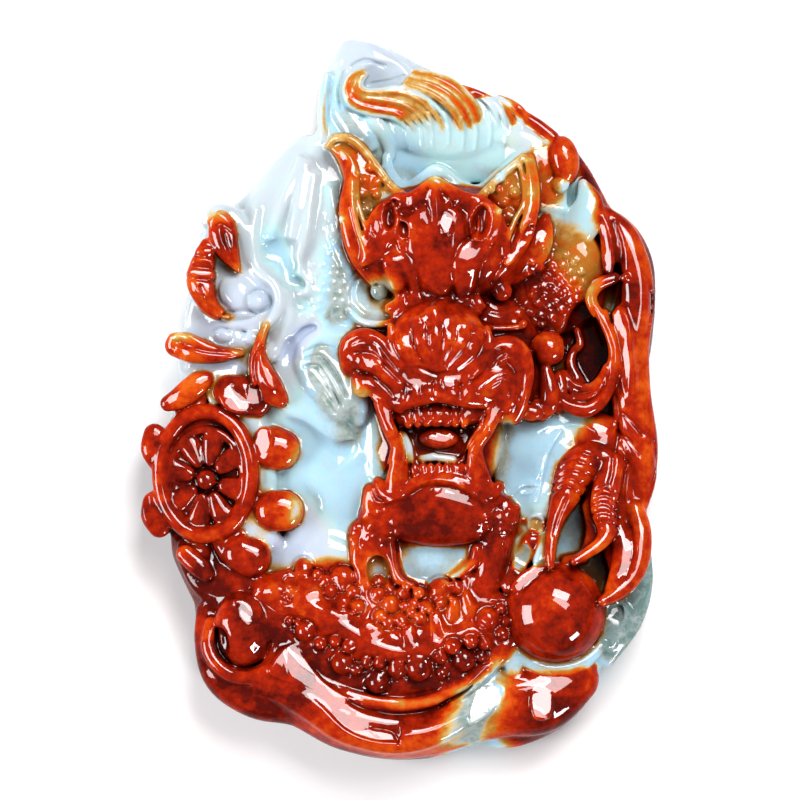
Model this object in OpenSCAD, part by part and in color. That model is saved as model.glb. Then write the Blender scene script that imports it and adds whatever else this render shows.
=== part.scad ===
// Carved jade pendant: a dragon's head under a lotus, with a wheel held in a claw, a hand on a pearl
// and a beaded body above a band of waves. It lies on its flat back, with the tip of the peak at +Y.

/* [Block] */
// Height from the lowest wave to the tip of the peak
pendant_height = 64.8; // [45:0.1:80]
// Width across the wheel and the body band
pendant_width = 46.6; // [34:0.1:58]
// Thickness of the block under the carving
block_thickness = 5; // [4:0.1:8]
// Bevel of the block's edge, at the back and at the face
edge_bevel = 1.3; // [0.6:0.1:1.8]
// Height of the tip of the nose above the back
relief_height = 14.8; // [10:0.1:18]

/* [Cord hole] */
// Diameter of the hole drilled across the peak
cord_hole_diameter = 2; // [1.2:0.1:2.4]
// Distance of the hole's middle below the tip of the peak
cord_hole_drop = 4.2; // [3.4:0.1:5.5]
// Height of the hole's middle above the back
cord_hole_rise = 3; // [2.4:0.1:3.4]

/* [Dragon] */
// Diameter of each eyeball
eye_diameter = 3.6; // [2.4:0.1:4.4]
// Depth of the mouth below the lips
mouth_depth = 5.4; // [2:0.1:6.5]
// Width of a tooth of the upper row
tooth_width = 0.95; // [0.6:0.05:1.2]
// Width of the round whisker
whisker_width = 1.1; // [0.8:0.05:1.6]
// Width of a hair lock at its thickest
lock_width = 1.15; // [0.8:0.05:1.6]

/* [Wheel] */
// Width of the wheel's rim
rim_width = 1.2; // [0.8:0.05:1.8]
// Diameter of the hub
hub_diameter = 1.8; // [1.2:0.1:2.6]
// Number of petals between the hub and the rim
wheel_petals = 8; // [6:1:10]

/* [Pearl and beads] */
// Diameter of the pearl under the hand
pearl_diameter = 8.8; // [6:0.1:10]
// Size of the body's beads beside their drawn size
bead_size = 1; // [0.7:0.05:1.3]

/* [Hidden] */

red_skin = "firebrick";
orange_skin = "orangered";
pale_jade = "lavender";

// The plan is drawn on a grid of squares, with its middle at the block's middle.
plan_rows = 720;
plan_columns = 518;
row = pendant_height / plan_rows;
column = pendant_width / plan_columns;

// Ridges and domes stand on roots inside the block, so that each grows out of it.
root = 0.3 * block_thickness;
relief_depth = relief_height - block_thickness;

ridge_steps = 1;
fine_steps = 2;
outline_steps = 1;
arch_angles = [180, 120, 60, 0];
dome_angles = [0, 45];
dome_sides = 16;
bead_sides = 8;

// Outline of the block, clockwise from the left foot of the peak: columns across, rows up
outline = [
    [-81, 250], [-81, 290], [-78, 314], [-68, 338], [-54, 353], [-40, 359], [-14, 351], [10, 341],
    [37, 326], [66, 310], [95, 302], [130, 281], [168, 259], [190, 230], [210, 192], [230, 178],
    [245, 158], [253, 138], [254, 100], [250, 55], [246, 30], [252, -10], [257, -50], [250, -90],
    [242, -120], [247, -160], [239, -200], [217, -240], [200, -262], [188, -290], [170, -318],
    [145, -336], [115, -347], [85, -347], [40, -355], [0, -358], [-35, -354], [-70, -341],
    [-100, -321], [-135, -310], [-168, -292], [-192, -260], [-200, -220], [-210, -185],
    [-225, -150], [-234, -110], [-234, -50], [-228, -10], [-220, 20], [-216, 40], [-213, 60],
    [-208, 100], [-200, 138], [-188, 175], [-165, 196], [-138, 218], [-97, 259]
];

// Each ridge has rows of: columns across, rows up, half width in rows, height in hundredths of the relief
peak_mass = [[-46, 336, 16, 22], [-50, 300, 29, 28], [-52, 255, 29, 28], [-55, 215, 24, 26]];
hair_mass = [[-15, 320, 18, 24], [30, 298, 25, 28], [80, 274, 27, 28], [128, 250, 22, 28]];
hollow_rim = [
    [-12, 235, 5, 38], [0, 212, 6, 42], [12, 210, 6, 42], [35, 228, 6, 44], [55, 214, 6, 44],
    [80, 209, 6, 42], [100, 224, 6, 40], [130, 244, 6, 36], [147, 250, 5, 32]
];
crescent_lobe = [[-34, 277, 7, 35], [-20, 268, 7, 35], [-10, 242, 5, 30]];

// Each hair lock has rows of: columns across, rows up, share of the lock width, height
hair_locks = [
    [[-38, 330, 0.5, 34], [-50, 320, 0.9, 39], [-53, 302, 1, 41], [-40, 290, 1, 41],
        [-15, 294, 1, 41], [15, 293, 1, 40], [40, 276, 0.7, 38]],
    [[-42, 327, 0.5, 35], [-40, 313, 0.7, 39], [-26, 304, 0.8, 41], [0, 311, 0.8, 41],
        [25, 301, 0.8, 41], [48, 273, 0.6, 38]],
    [[8, 321, 0.7, 34], [30, 311, 0.9, 38], [50, 299, 0.9, 40], [62, 276, 0.7, 37]],
    [[25, 322, 0.7, 32], [50, 311, 0.9, 36], [68, 298, 0.9, 38], [77, 272, 0.7, 35]],
    [[74, 301, 0.7, 31], [98, 292, 0.9, 35], [111, 270, 0.7, 33]],
    [[102, 293, 0.7, 31], [118, 285, 0.9, 34], [128, 262, 0.7, 31]]
];
// Fine strands that fall from the locks into the hollow: their count and first place
fall_count = 6;
fall_start = [12, 288];
fall_pitch = 17;
fall_slope = 4;

lotus_petals = [
    [[-24, 112, 14, 54], [-44, 155, 17, 66], [-48, 200, 12, 64], [-60, 238, 7, 56], [-71, 253, 3, 50]],
    [[-8, 106, 14, 58], [-20, 148, 18, 74], [-26, 184, 10, 70]],
    [[14, 103, 14, 60], [4, 145, 19, 80], [2, 190, 10, 76]],
    [[40, 100, 15, 62], [36, 150, 23, 86], [33, 214, 7, 82]],
    [[66, 105, 14, 60], [74, 150, 19, 80], [78, 197, 10, 74]],
    [[92, 113, 14, 57], [104, 158, 17, 72], [110, 192, 9, 66]],
    [[114, 124, 14, 50], [134, 168, 14, 60], [140, 208, 9, 57], [132, 240, 4, 50]]
];
eyelids = [
    [[70, 100, 4, 60], [80, 83, 4, 63], [100, 81, 4, 63], [118, 97, 4, 60], [122, 115, 4, 56]],
    [[-48, 115, 4, 52], [-42, 92, 4, 57], [-25, 82, 4, 60], [-8, 86, 4, 60]]
];
nose_ribs = [
    [[34, 28, 6, 88], [12, 50, 8, 96], [-2, 68, 7, 89]],
    [[34, 28, 6, 90], [24, 56, 8, 99], [14, 84, 7, 91]],
    [[36, 28, 6, 90], [37, 60, 8, 100], [37, 92, 7, 92]],
    [[38, 28, 6, 90], [50, 56, 8, 99], [60, 84, 7, 91]],
    [[40, 28, 6, 88], [64, 48, 8, 96], [80, 65, 7, 89]]
];
muzzle_rolls = [
    [[-48, 48, 13, 72], [-33, 52, 17, 84], [-16, 42, 16, 88], [2, 26, 14, 88], [25, 14, 11, 86]],
    [[-50, 30, 9, 68], [-43, 13, 12, 74], [-24, 6, 12, 78], [0, 0, 10, 78]],
    [[45, 14, 11, 86], [74, 28, 14, 88], [94, 42, 16, 88], [112, 42, 14, 84], [120, 24, 12, 78], [114, 0, 11, 72]],
    [[84, 16, 8, 82], [101, 24, 10, 84], [105, 4, 9, 78], [103, -17, 8, 70]],
    [[-8, -3, 12, 78], [14, 5, 14, 86], [35, 8, 14, 88], [58, 5, 14, 86], [78, -3, 12, 78]]
];
cheek_leaves = [
    [[145, 35, 5, 54], [148, 6, 8, 58], [143, -18, 3, 52]],
    [[157, 24, 4, 50], [161, 0, 5, 52], [158, -14, 3, 48]]
];
mouth_straps = [
    [[-20, -2, 7, 74], [-7, -35, 7, 76], [-4, -58, 9, 72], [-4, -90, 11, 64]],
    [[97, 0, 7, 74], [80, -35, 7, 76], [74, -58, 9, 72], [80, -92, 11, 64]]
];
lower_lip = [
    [-20, -97, 6, 60], [3, -88, 7, 64], [25, -80, 7, 66], [40, -77, 7, 67], [60, -82, 7, 66], [88, -98, 6, 60]
];
throat_straps = [
    [[-17, -118, 19, 46], [-26, -155, 18, 46], [-22, -198, 18, 44]],
    [[92, -118, 16, 46], [92, -158, 16, 44], [72, -196, 16, 42]]
];
whisker_path = [
    [160, 5, 1.2, 50], [180, -4, 1.2, 48], [200, 3, 1.1, 46], [211, 22, 1, 46], [213, 50, 1, 44],
    [205, 78, 1, 44], [200, 100, 1, 42], [208, 114, 0.9, 42], [226, 126, 0.7, 40]
];
body_band = [
    [206, 180, 8, 24], [230, 146, 15, 36], [238, 100, 15, 40], [231, 55, 18, 42], [231, 5, 19, 42],
    [239, -40, 17, 38], [243, -78, 13, 32], [236, -116, 9, 26]
];
beaded_body = [
    [-138, -187, 12, 34], [-100, -200, 26, 42], [-55, -220, 40, 48], [0, -234, 44, 50],
    [52, -226, 38, 46], [95, -215, 22, 38]
];
body_crest = [
    [-134, -190, 5, 38], [-70, -212, 6, 50], [-35, -238, 6, 54], [5, -254, 6, 55], [30, -240, 6, 56],
    [80, -228, 5, 48]
];
wave_band = [
    [-182, -255, 17, 24], [-148, -288, 22, 30], [-95, -303, 25, 34], [-35, -324, 28, 36],
    [30, -326, 27, 34], [85, -314, 28, 32], [132, -304, 31, 34], [168, -280, 22, 28]
];
wave_lip = [
    [-102, -248, 5, 34], [-80, -272, 5, 38], [-50, -288, 5, 40], [-20, -297, 5, 42], [10, -299, 5, 42],
    [40, -294, 5, 40], [65, -282, 5, 38], [90, -257, 5, 34]
];
wave_curl = [
    [-186, -236, 6, 30], [-180, -264, 7, 35], [-152, -279, 7, 38], [-124, -266, 7, 38], [-108, -245, 6, 36]
];
claws = [
    [[-184, 184, 5, 34], [-177, 162, 12, 40], [-163, 134, 3, 34]],
    [[-197, 150, 8, 34], [-200, 120, 12, 40], [-188, 95, 8, 36], [-172, 85, 3, 32]],
    [[-222, 65, 7, 28], [-195, 48, 10, 38], [-160, 48, 3, 34]],
    [[-132, 80, 3, 34], [-144, 57, 8, 40], [-142, 28, 12, 44], [-125, 6, 7, 40]]
];
paw_folds = [
    [[-138, 124, 8, 33], [-128, 100, 8, 36], [-131, 80, 5, 34]],
    [[-97, 246, 15, 24], [-115, 200, 19, 28], [-138, 160, 20, 28], [-150, 125, 16, 26]],
    [[-80, 210, 18, 28], [-85, 160, 20, 30], [-90, 110, 18, 32], [-100, 70, 14, 30]],
    [[-100, 52, 14, 32], [-80, 15, 17, 38], [-54, -10, 13, 42]]
];
fingers = [
    [[190, -25, 10, 40], [180, -55, 13, 46], [167, -90, 10, 48], [156, -125, 6, 52], [148, -166, 4, 68]],
    [[215, -30, 12, 42], [210, -70, 13, 48], [200, -105, 10, 50], [198, -132, 8, 56], [178, -160, 4, 68]],
    [[234, -110, 8, 34], [239, -145, 8, 40], [235, -172, 7, 46], [221, -191, 6, 54], [200, -202, 4, 60]],
    [[141, -90, 4, 18], [142, -128, 4, 22], [143, -165, 4, 40]]
];

// Each dome has: columns across, rows up, half width, half length, height, crown, turn in degrees
head_domes = [
    [40, 50, 104, 74, 56, 0.35, 0],
    [40, -40, 66, 64, 58, 0.3, 0],
    [158, 126, 48, 56, 30, 0.25, 0],
    [37, 62, 44, 38, 94, 0.6, 0],
    [147, 53, 18, 17, 66, 0.9, 0]
];
throat_dome = [40, -110, 68, 40, 60, 0.5, 0];
lotus_domes = [
    [42, 150, 100, 52, 70, 0.6, 0],
    [-30, 208, 15, 24, 48, 0.5, 0],
    [106, 208, 16, 24, 46, 0.5, 0]
];
side_domes = [
    [165, 237, 13, 26, 40, 0.8, 8],
    [176, 190, 24, 30, 24, 0.5, 0],
    [146, 218, 13, 26, 32, 0.6, 0]
];
paw_domes = [
    [-158, 108, 28, 30, 30, 0.5, 0],
    [-100, 120, 58, 120, 22, 0.2, 8]
];
palm_dome = [203, -54, 30, 40, 36, 0.5, 0];
curl_dome = [-160, -227, 24, 31, 42, 0.7, 0];
// Each lobe round the wheel: columns across, rows up, half width, half length, height, crown, turn
wheel_lobes = [
    [-246, -46, 12, 24, 26, 0.8, 8],
    [-244, -113, 13, 23, 26, 0.8, -6],
    [-213, -160, 24, 14, 32, 0.8, -32],
    [-154, -158, 22, 20, 38, 0.8, 0],
    [-122, -109, 21, 21, 44, 0.8, 0],
    [-124, -48, 21, 23, 44, 0.8, 0],
    [-160, 5, 27, 17, 40, 0.8, 0],
    [-212, 8, 26, 15, 32, 0.8, 40]
];
wheel_middle = [-195, -74];
wheel_radius = [41, 58];
wheel_height = 36;
wheel_lean = 6;
disc_drop = 10;
// The necks run from the rim to the lobes: their reach, half width and drop below the lobe
neck_reach = [0.55, 1];
neck_half = 9;
neck_drop = 6;
petal_reach = [0.34, 0.82];
petal_widths = [3, 9];
mouth_middle = [37, -40];
mouth_radius = [33, 35];
eye_places = [[97, 108, 62], [-20, 108, 60]];
upper_teeth = [8, 21, 32, 42, 53, 65];
upper_teeth_row = [-17, 11, 70];
lower_teeth = [18, 27, 35, 43, 52, 60];
lower_teeth_row = [-71, 7, 60];
tongue = [37, -43, 20, 13, 50, 0.6, 0];
pearl_place = [153, -210, 72];

// Each bead of the body: columns across, rows up, half width in rows, height
beads = [
    [-97, -170, 8, 43], [-58, -178, 13, 47], [-58, -201, 8, 52], [-43, -206, 7, 52], [-10, -201, 9, 51],
    [3, -190, 7, 44], [13, -203, 7, 51], [40, -190, 12, 49], [26, -208, 7, 52], [56, -186, 7, 42],
    [-20, -216, 7, 54], [0, -219, 7, 55], [20, -219, 7, 55], [87, -217, 10, 47], [18, -267, 12, 55],
    [63, -256, 11, 49], [-23, -272, 11, 49], [-58, -257, 10, 48], [-95, -222, 9, 45], [101, -228, 7, 42],
    [52, -243, 7, 52], [-114, -196, 8, 46]
];

function height_at(share) = block_thickness + relief_depth * share / 100;

function spline(a, b, c, d, s) =
    0.5 * (2 * b + (c - a) * s + (2 * a - 5 * b + 4 * c - d) * s * s + (3 * b - 3 * c + d - a) * s * s * s);

function smooth_open(rows, steps) = concat(
    [
        for (i = [0:len(rows) - 2], k = [0:steps - 1])
            spline(rows[max(i - 1, 0)], rows[i], rows[i + 1], rows[min(i + 2, len(rows) - 1)], k / steps)
    ],
    [rows[len(rows) - 1]]
);

function smooth_closed(rows, steps) = [
    for (i = [0:len(rows) - 1], k = [0:steps - 1])
        spline(
            rows[(i + len(rows) - 1) % len(rows)], rows[i], rows[(i + 1) % len(rows)],
            rows[(i + 2) % len(rows)], k / steps
        )
];

function on_plan(place) = [place.x * column, place.y * row];

function right_of(a, b) =
    let (way = on_plan(b) - on_plan(a))
    [way.y, -way.x] / norm(way);

// Points of one arched section of a ridge, from its left foot over its crest to its right foot
function arch(place, side, crown) =
    let (
        middle = on_plan(place),
        half = place[2] * row,
        crest = height_at(place[3]),
        rise = min(crown * half, 0.9 * (crest - root))
    )
    concat(
        [[middle.x - half * side.x, middle.y - half * side.y, root]],
        [
            for (a = arch_angles)
                [
                    middle.x + half * cos(a) * side.x,
                    middle.y + half * cos(a) * side.y,
                    crest - rise + rise * sin(a)
                ]
        ],
        [[middle.x + half * side.x, middle.y + half * side.y, root]]
    );

// A carved ridge: arched sections along a smooth path, with walls down to the root
module ridge(rows, crown = 1, steps = ridge_steps) {
    path = smooth_open(rows, steps);
    last = len(path) - 1;
    sections = [
        for (i = [0:last])
            arch(path[i], right_of(path[max(i - 1, 0)], path[min(i + 1, last)]), crown)
    ];
    size = len(sections[0]);
    skin = [
        for (i = [0:last - 1], k = [0:size - 1])
            let (next = (k + 1) % size)
            [i * size + k, (i + 1) * size + k, (i + 1) * size + next, i * size + next]
    ];
    start_cap = [for (k = [0:size - 1]) k];
    end_cap = [for (k = [size - 1:-1:0]) last * size + k];
    polyhedron(points = [for (s = sections) each s], faces = concat(skin, [start_cap], [end_cap]), convexity = 4);
}

// A carved dome on a straight wall down to the root
module dome(place, sides = dome_sides) {
    crest = height_at(place[4]);
    rise = min(place[5] * min(place[2], place[3]) * row, 0.9 * (crest - root));
    translate([place.x * column, place.y * row, 0])
        rotate(place[6])
            scale([place[2] * row, place[3] * row, 1])
                rotate_extrude($fn = sides)
                    polygon([
                        [0, root],
                        [1, root],
                        for (a = dome_angles) [cos(a), crest - rise + rise * sin(a)],
                        [0, crest]
                    ]);
}

module bead(x, y, radius, height, sides = bead_sides)
    dome([x, y, radius, radius, height, 1, 0], sides);

// The block's outline, drawn in by an inset along its inward normals
function inset_outline(inset) =
    let (edge = smooth_closed(outline, outline_steps), count = len(edge))
    [
        for (i = [0:count - 1])
            on_plan(edge[i]) + inset * right_of(edge[(i + count - 1) % count], edge[(i + 1) % count])
    ];

module block() {
    // Each level has an inset of the outline and a height
    levels = [
        [edge_bevel, 0],
        [0, edge_bevel],
        [0, block_thickness - edge_bevel],
        [edge_bevel, block_thickness]
    ];
    rings = [for (level = levels) [for (p = inset_outline(level[0])) [p.x, p.y, level[1]]]];
    size = len(rings[0]);
    last = len(rings) - 1;
    color(pale_jade)
        polyhedron(
            points = [for (ring = rings) each ring],
            faces = concat(
                [
                    for (i = [0:last - 1], k = [0:size - 1])
                        let (next = (k + 1) % size)
                        [i * size + k, i * size + next, (i + 1) * size + next, (i + 1) * size + k]
                ],
                [[for (k = [size - 1:-1:0]) k]],
                [[for (k = [0:size - 1]) last * size + k]]
            ),
            convexity = 6
        );
}

module hair() {
    color(pale_jade) {
        ridge(peak_mass, 0.4);
        ridge(hair_mass, 0.4);
        ridge(hollow_rim);
        ridge(crescent_lobe);
        for (i = [0:fall_count - 1])
            let (x = fall_start.x + i * fall_pitch, y = fall_start.y - i * fall_slope)
            ridge([[x, y, 3, 37], [x + 8, y - 24, 3, 31], [x + 13, y - 44, 2, 22]], steps = 1);
    }
    color(orange_skin)
        for (lock = hair_locks)
            ridge([for (p = lock) [p.x, p.y, p[2] * lock_width / 2 / row, p[3]]], steps = 1);
}

module lotus() {
    color(red_skin) {
        for (d = lotus_domes)
            dome(d);
        for (petal = lotus_petals)
            ridge(petal, 0.8, fine_steps);
    }
}

module mouth_cut() {
    floor_height = height_at(lower_lip[2][3]) - mouth_depth;
    translate([mouth_middle.x * column, mouth_middle.y * row, floor_height])
        scale([mouth_radius.x * column, mouth_radius.y * row, 1])
            cylinder(h = relief_height, r = 1, $fn = 20);
}

module teeth() {
    for (x = upper_teeth)
        dome([x, upper_teeth_row.x, tooth_width / 2 / row, upper_teeth_row.y, upper_teeth_row.z, 0.8, 0], 6);
    for (x = lower_teeth)
        dome([x, lower_teeth_row.x, 0.8 * tooth_width / 2 / row, lower_teeth_row.y, lower_teeth_row.z, 0.8, 0], 6);
}

module head() {
    color(red_skin) {
        difference() {
            union() {
                for (d = head_domes)
                    dome(d);
                dome(throat_dome);
            }
            mouth_cut();
        }
        for (rib = nose_ribs)
            ridge(rib);
        for (roll = muzzle_rolls)
            ridge(roll, 0.9, fine_steps);
        for (leaf = cheek_leaves)
            ridge(leaf);
        for (strap = mouth_straps)
            ridge(strap);
        ridge(lower_lip);
        dome(tongue);
        teeth();
    }
}

module eyes() {
    color("dimgray")
        for (e = eye_places)
            bead(e.x, e.y, eye_diameter / 2 / row, e.z, dome_sides);
    color(red_skin)
        for (lid = eyelids)
            ridge(lid);
}

module throat() {
    color(red_skin)
        for (strap = throat_straps)
            ridge(strap, 0.8);
}

module whisker() {
    color(red_skin)
        ridge([for (p = whisker_path) [p.x, p.y, p[2] * whisker_width / 2 / row, p[3]]]);
}

module side_band() {
    color(red_skin)
        ridge(body_band, 0.7, fine_steps);
    color(orange_skin)
        for (d = side_domes)
            dome(d);
}

// Places round the wheel, on an ellipse at a share of its radius
function round_wheel(angle, share) = [
    wheel_middle.x + share * wheel_radius.x * cos(angle),
    wheel_middle.y + share * wheel_radius.y * sin(angle)
];

// The wheel leans, so that its right side stands higher than its left.
function wheel_level(angle, share) = wheel_height + wheel_lean * share * cos(angle);

module wheel() {
    rim_half = rim_width / 2 / row;
    color(red_skin) {
        dome(concat(wheel_middle, wheel_radius, [wheel_height - disc_drop, 0.1, 0]), 24);
        ridge([for (a = [0:30:360]) concat(round_wheel(a, 1), [rim_half, wheel_level(a, 1)])], steps = 1);
        bead(wheel_middle.x, wheel_middle.y, hub_diameter / 2 / row, wheel_height);
        for (i = [0:wheel_petals - 1])
            let (angle = (i + 0.5) * 360 / wheel_petals)
            ridge([
                for (k = [0:1])
                    concat(
                        round_wheel(angle, petal_reach[k]),
                        [petal_widths[k], wheel_level(angle, petal_reach[k]) - 2]
                    )
            ], 0.5, 1);
        for (lobe = wheel_lobes) {
            dome(lobe);
            ridge([
                for (share = neck_reach)
                    concat(
                        (1 - share) * wheel_middle + share * [lobe.x, lobe.y],
                        [neck_half, lobe[4] - neck_drop]
                    )
            ], 0.6);
        }
    }
}

module paw() {
    color(pale_jade) {
        for (d = paw_domes)
            dome(d);
        for (fold = paw_folds)
            ridge(fold, 0.6);
    }
    color(red_skin)
        for (claw = claws)
            ridge(claw);
}

module pearl() {
    radius = pearl_diameter / 2 / row;
    color(red_skin)
        dome([pearl_place.x, pearl_place.y, radius, radius, pearl_place.z, 1, 0], 24);
}

module hand() {
    color(red_skin) {
        dome(palm_dome);
        for (finger = fingers)
            ridge(finger);
    }
}

module body() {
    color(red_skin) {
        ridge(beaded_body, 0.35, fine_steps);
        ridge(body_crest, 1, fine_steps);
        for (b = beads)
            bead(b.x, b.y, b[2] * bead_size, b[3]);
    }
}

module waves() {
    color(red_skin) {
        ridge(wave_band, 0.5, fine_steps);
        ridge(wave_lip);
        ridge(wave_curl, 1, fine_steps);
        dome(curl_dome);
    }
}

// The whole carving, brought to the named width, height and thickness
module relief() {
    resize([pendant_width, pendant_height, relief_height])
        union() {
            block();
            hair();
            lotus();
            head();
            eyes();
            throat();
            whisker();
            side_band();
            wheel();
            paw();
            pearl();
            hand();
            body();
            waves();
        }
}

module cord_hole() {
    translate([0, pendant_height / 2 - cord_hole_drop, cord_hole_rise])
        rotate([0, 90, 0])
            cylinder(h = pendant_width, d = cord_hole_diameter, center = true, $fn = 48);
}

module carved_jade() {
    color(red_skin)
        difference() {
            relief();
            cord_hole();
        }
}

carved_jade();
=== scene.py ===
"""A carved jade pendant: one block of two-colour jade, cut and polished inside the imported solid's box.

The stone is a grid of distances to its surface. Each form is joined to it or cut out of it in turn, the
grid is turned into a mesh, and masks at the mesh's corners lead the colours of one procedural jade.
"""

import math

import bmesh
import bpy
import numpy as np
from bpy.props import FloatProperty, FloatVectorProperty, IntProperty, PointerProperty
from bpy.types import Operator, Panel, PropertyGroup
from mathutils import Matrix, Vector


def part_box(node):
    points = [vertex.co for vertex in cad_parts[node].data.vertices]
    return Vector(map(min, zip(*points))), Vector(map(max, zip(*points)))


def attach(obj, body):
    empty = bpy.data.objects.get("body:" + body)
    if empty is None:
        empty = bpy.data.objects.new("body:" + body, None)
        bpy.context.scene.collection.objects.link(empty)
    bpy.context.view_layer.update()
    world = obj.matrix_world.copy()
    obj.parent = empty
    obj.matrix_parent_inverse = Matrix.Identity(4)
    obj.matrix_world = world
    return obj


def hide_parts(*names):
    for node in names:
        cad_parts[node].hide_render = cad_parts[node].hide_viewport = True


bl_info = {
    "name": "Carved jade pendant",
    "version": (1, 0, 0),
    "blender": (4, 5, 0),
    "location": "View3D > Sidebar > Pendant",
    "description": "Carves and polishes a jade pendant in high relief, and sets its stage",
    "category": "Object",
}

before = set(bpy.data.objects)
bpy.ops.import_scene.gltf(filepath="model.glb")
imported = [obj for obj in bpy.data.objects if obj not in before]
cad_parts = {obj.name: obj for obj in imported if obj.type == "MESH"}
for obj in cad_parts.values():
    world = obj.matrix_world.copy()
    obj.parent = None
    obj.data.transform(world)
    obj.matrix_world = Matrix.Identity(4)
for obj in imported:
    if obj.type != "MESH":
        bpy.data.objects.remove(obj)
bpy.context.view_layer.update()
NODE = "carved_jade"
LOW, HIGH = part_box(NODE)

# The picture's size, and the part of it that the pendant fills, in its own columns and rows
PICTURE = 800
SPAN_COLUMNS = 518
SPAN_ROWS = 720
MIDDLE = (399.0, 399.5)
MILLIMETRE = 0.001

# Paints of the carved forms: pale jade, red skin, amber, near white (a painted highlight on the jaw pad and
# fang), maroon hollow that the shader darkens further as painted shade, orange
JADE, SKIN, THIN, CLEAR, DARK, RUST = 1, 2, 3, 4, 5, 6
# Thickness of the skin that each paint stands for, with bare stone first
SKIN_OF = [0.9, 0.0, 0.84, 0.42, 0.24, 1.0, 0.62]

# Lowest height in millimetres that engraved lines reach
ENGRAVE_FLOOR = 1.5
# Room in millimetres that is kept around a form on the grid
ROOM = 0.3


def smooth_path(rows, steps):
    """Rows on a Catmull-Rom curve through the given rows."""
    rows = np.asarray(rows, dtype=float)
    count = len(rows)
    if count < 3:
        return rows
    out = []
    for i in range(count - 1):
        a, b, c, d = rows[max(i - 1, 0)], rows[i], rows[i + 1], rows[min(i + 2, count - 1)]
        for k in range(steps):
            s = k / steps
            bend = (2 * a - 5 * b + 4 * c - d) * s * s
            turn = (3 * b - 3 * c + d - a) * s**3
            out.append(0.5 * (2 * b + (c - a) * s + bend + turn))
    out.append(rows[-1])
    return np.array(out)


def closed_path(rows, steps):
    """The same curve as a ring, from the first row round to it again."""
    rows = np.asarray(rows, dtype=float)
    ring = np.vstack([rows[-1:], rows, rows[:2]])
    full = smooth_path(ring, steps)
    return full[steps : steps + len(rows) * steps]


def blend_min(a, b, reach):
    """The smaller of two distances, rounded where they are within reach of each other."""
    if reach <= 0:
        return np.minimum(a, b)
    h = np.maximum(reach - np.abs(a - b), 0) / reach
    return np.minimum(a, b) - h * h * reach * 0.25


def turned(x, y, turn):
    """Distances along and across a direction that is turned by some degrees."""
    co, si = math.cos(math.radians(turn)), math.sin(math.radians(turn))
    return x * co + y * si, -x * si + y * co


def beside(x, y, a, b):
    """Share of the way from a to b that lies nearest each place, and the distance from there."""
    way = b - a
    share = np.clip(((x - a[0]) * way[0] + (y - a[1]) * way[1]) / max(way @ way, 1e-9), 0, 1)
    return share, np.hypot(x - a[0] - share * way[0], y - a[1] - share * way[1])


def oval_distance(u, v, w, half_u, half_v, half_w):
    """About how far each place lies outside an oval with three half widths."""
    k0 = np.sqrt((u / half_u) ** 2 + (v / half_v) ** 2 + (w / half_w) ** 2)
    k1 = np.sqrt((u / half_u**2) ** 2 + (v / half_v**2) ** 2 + (w / half_w**2) ** 2)
    return k0 * (k0 - 1) / np.maximum(k1, 1e-4)


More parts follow.
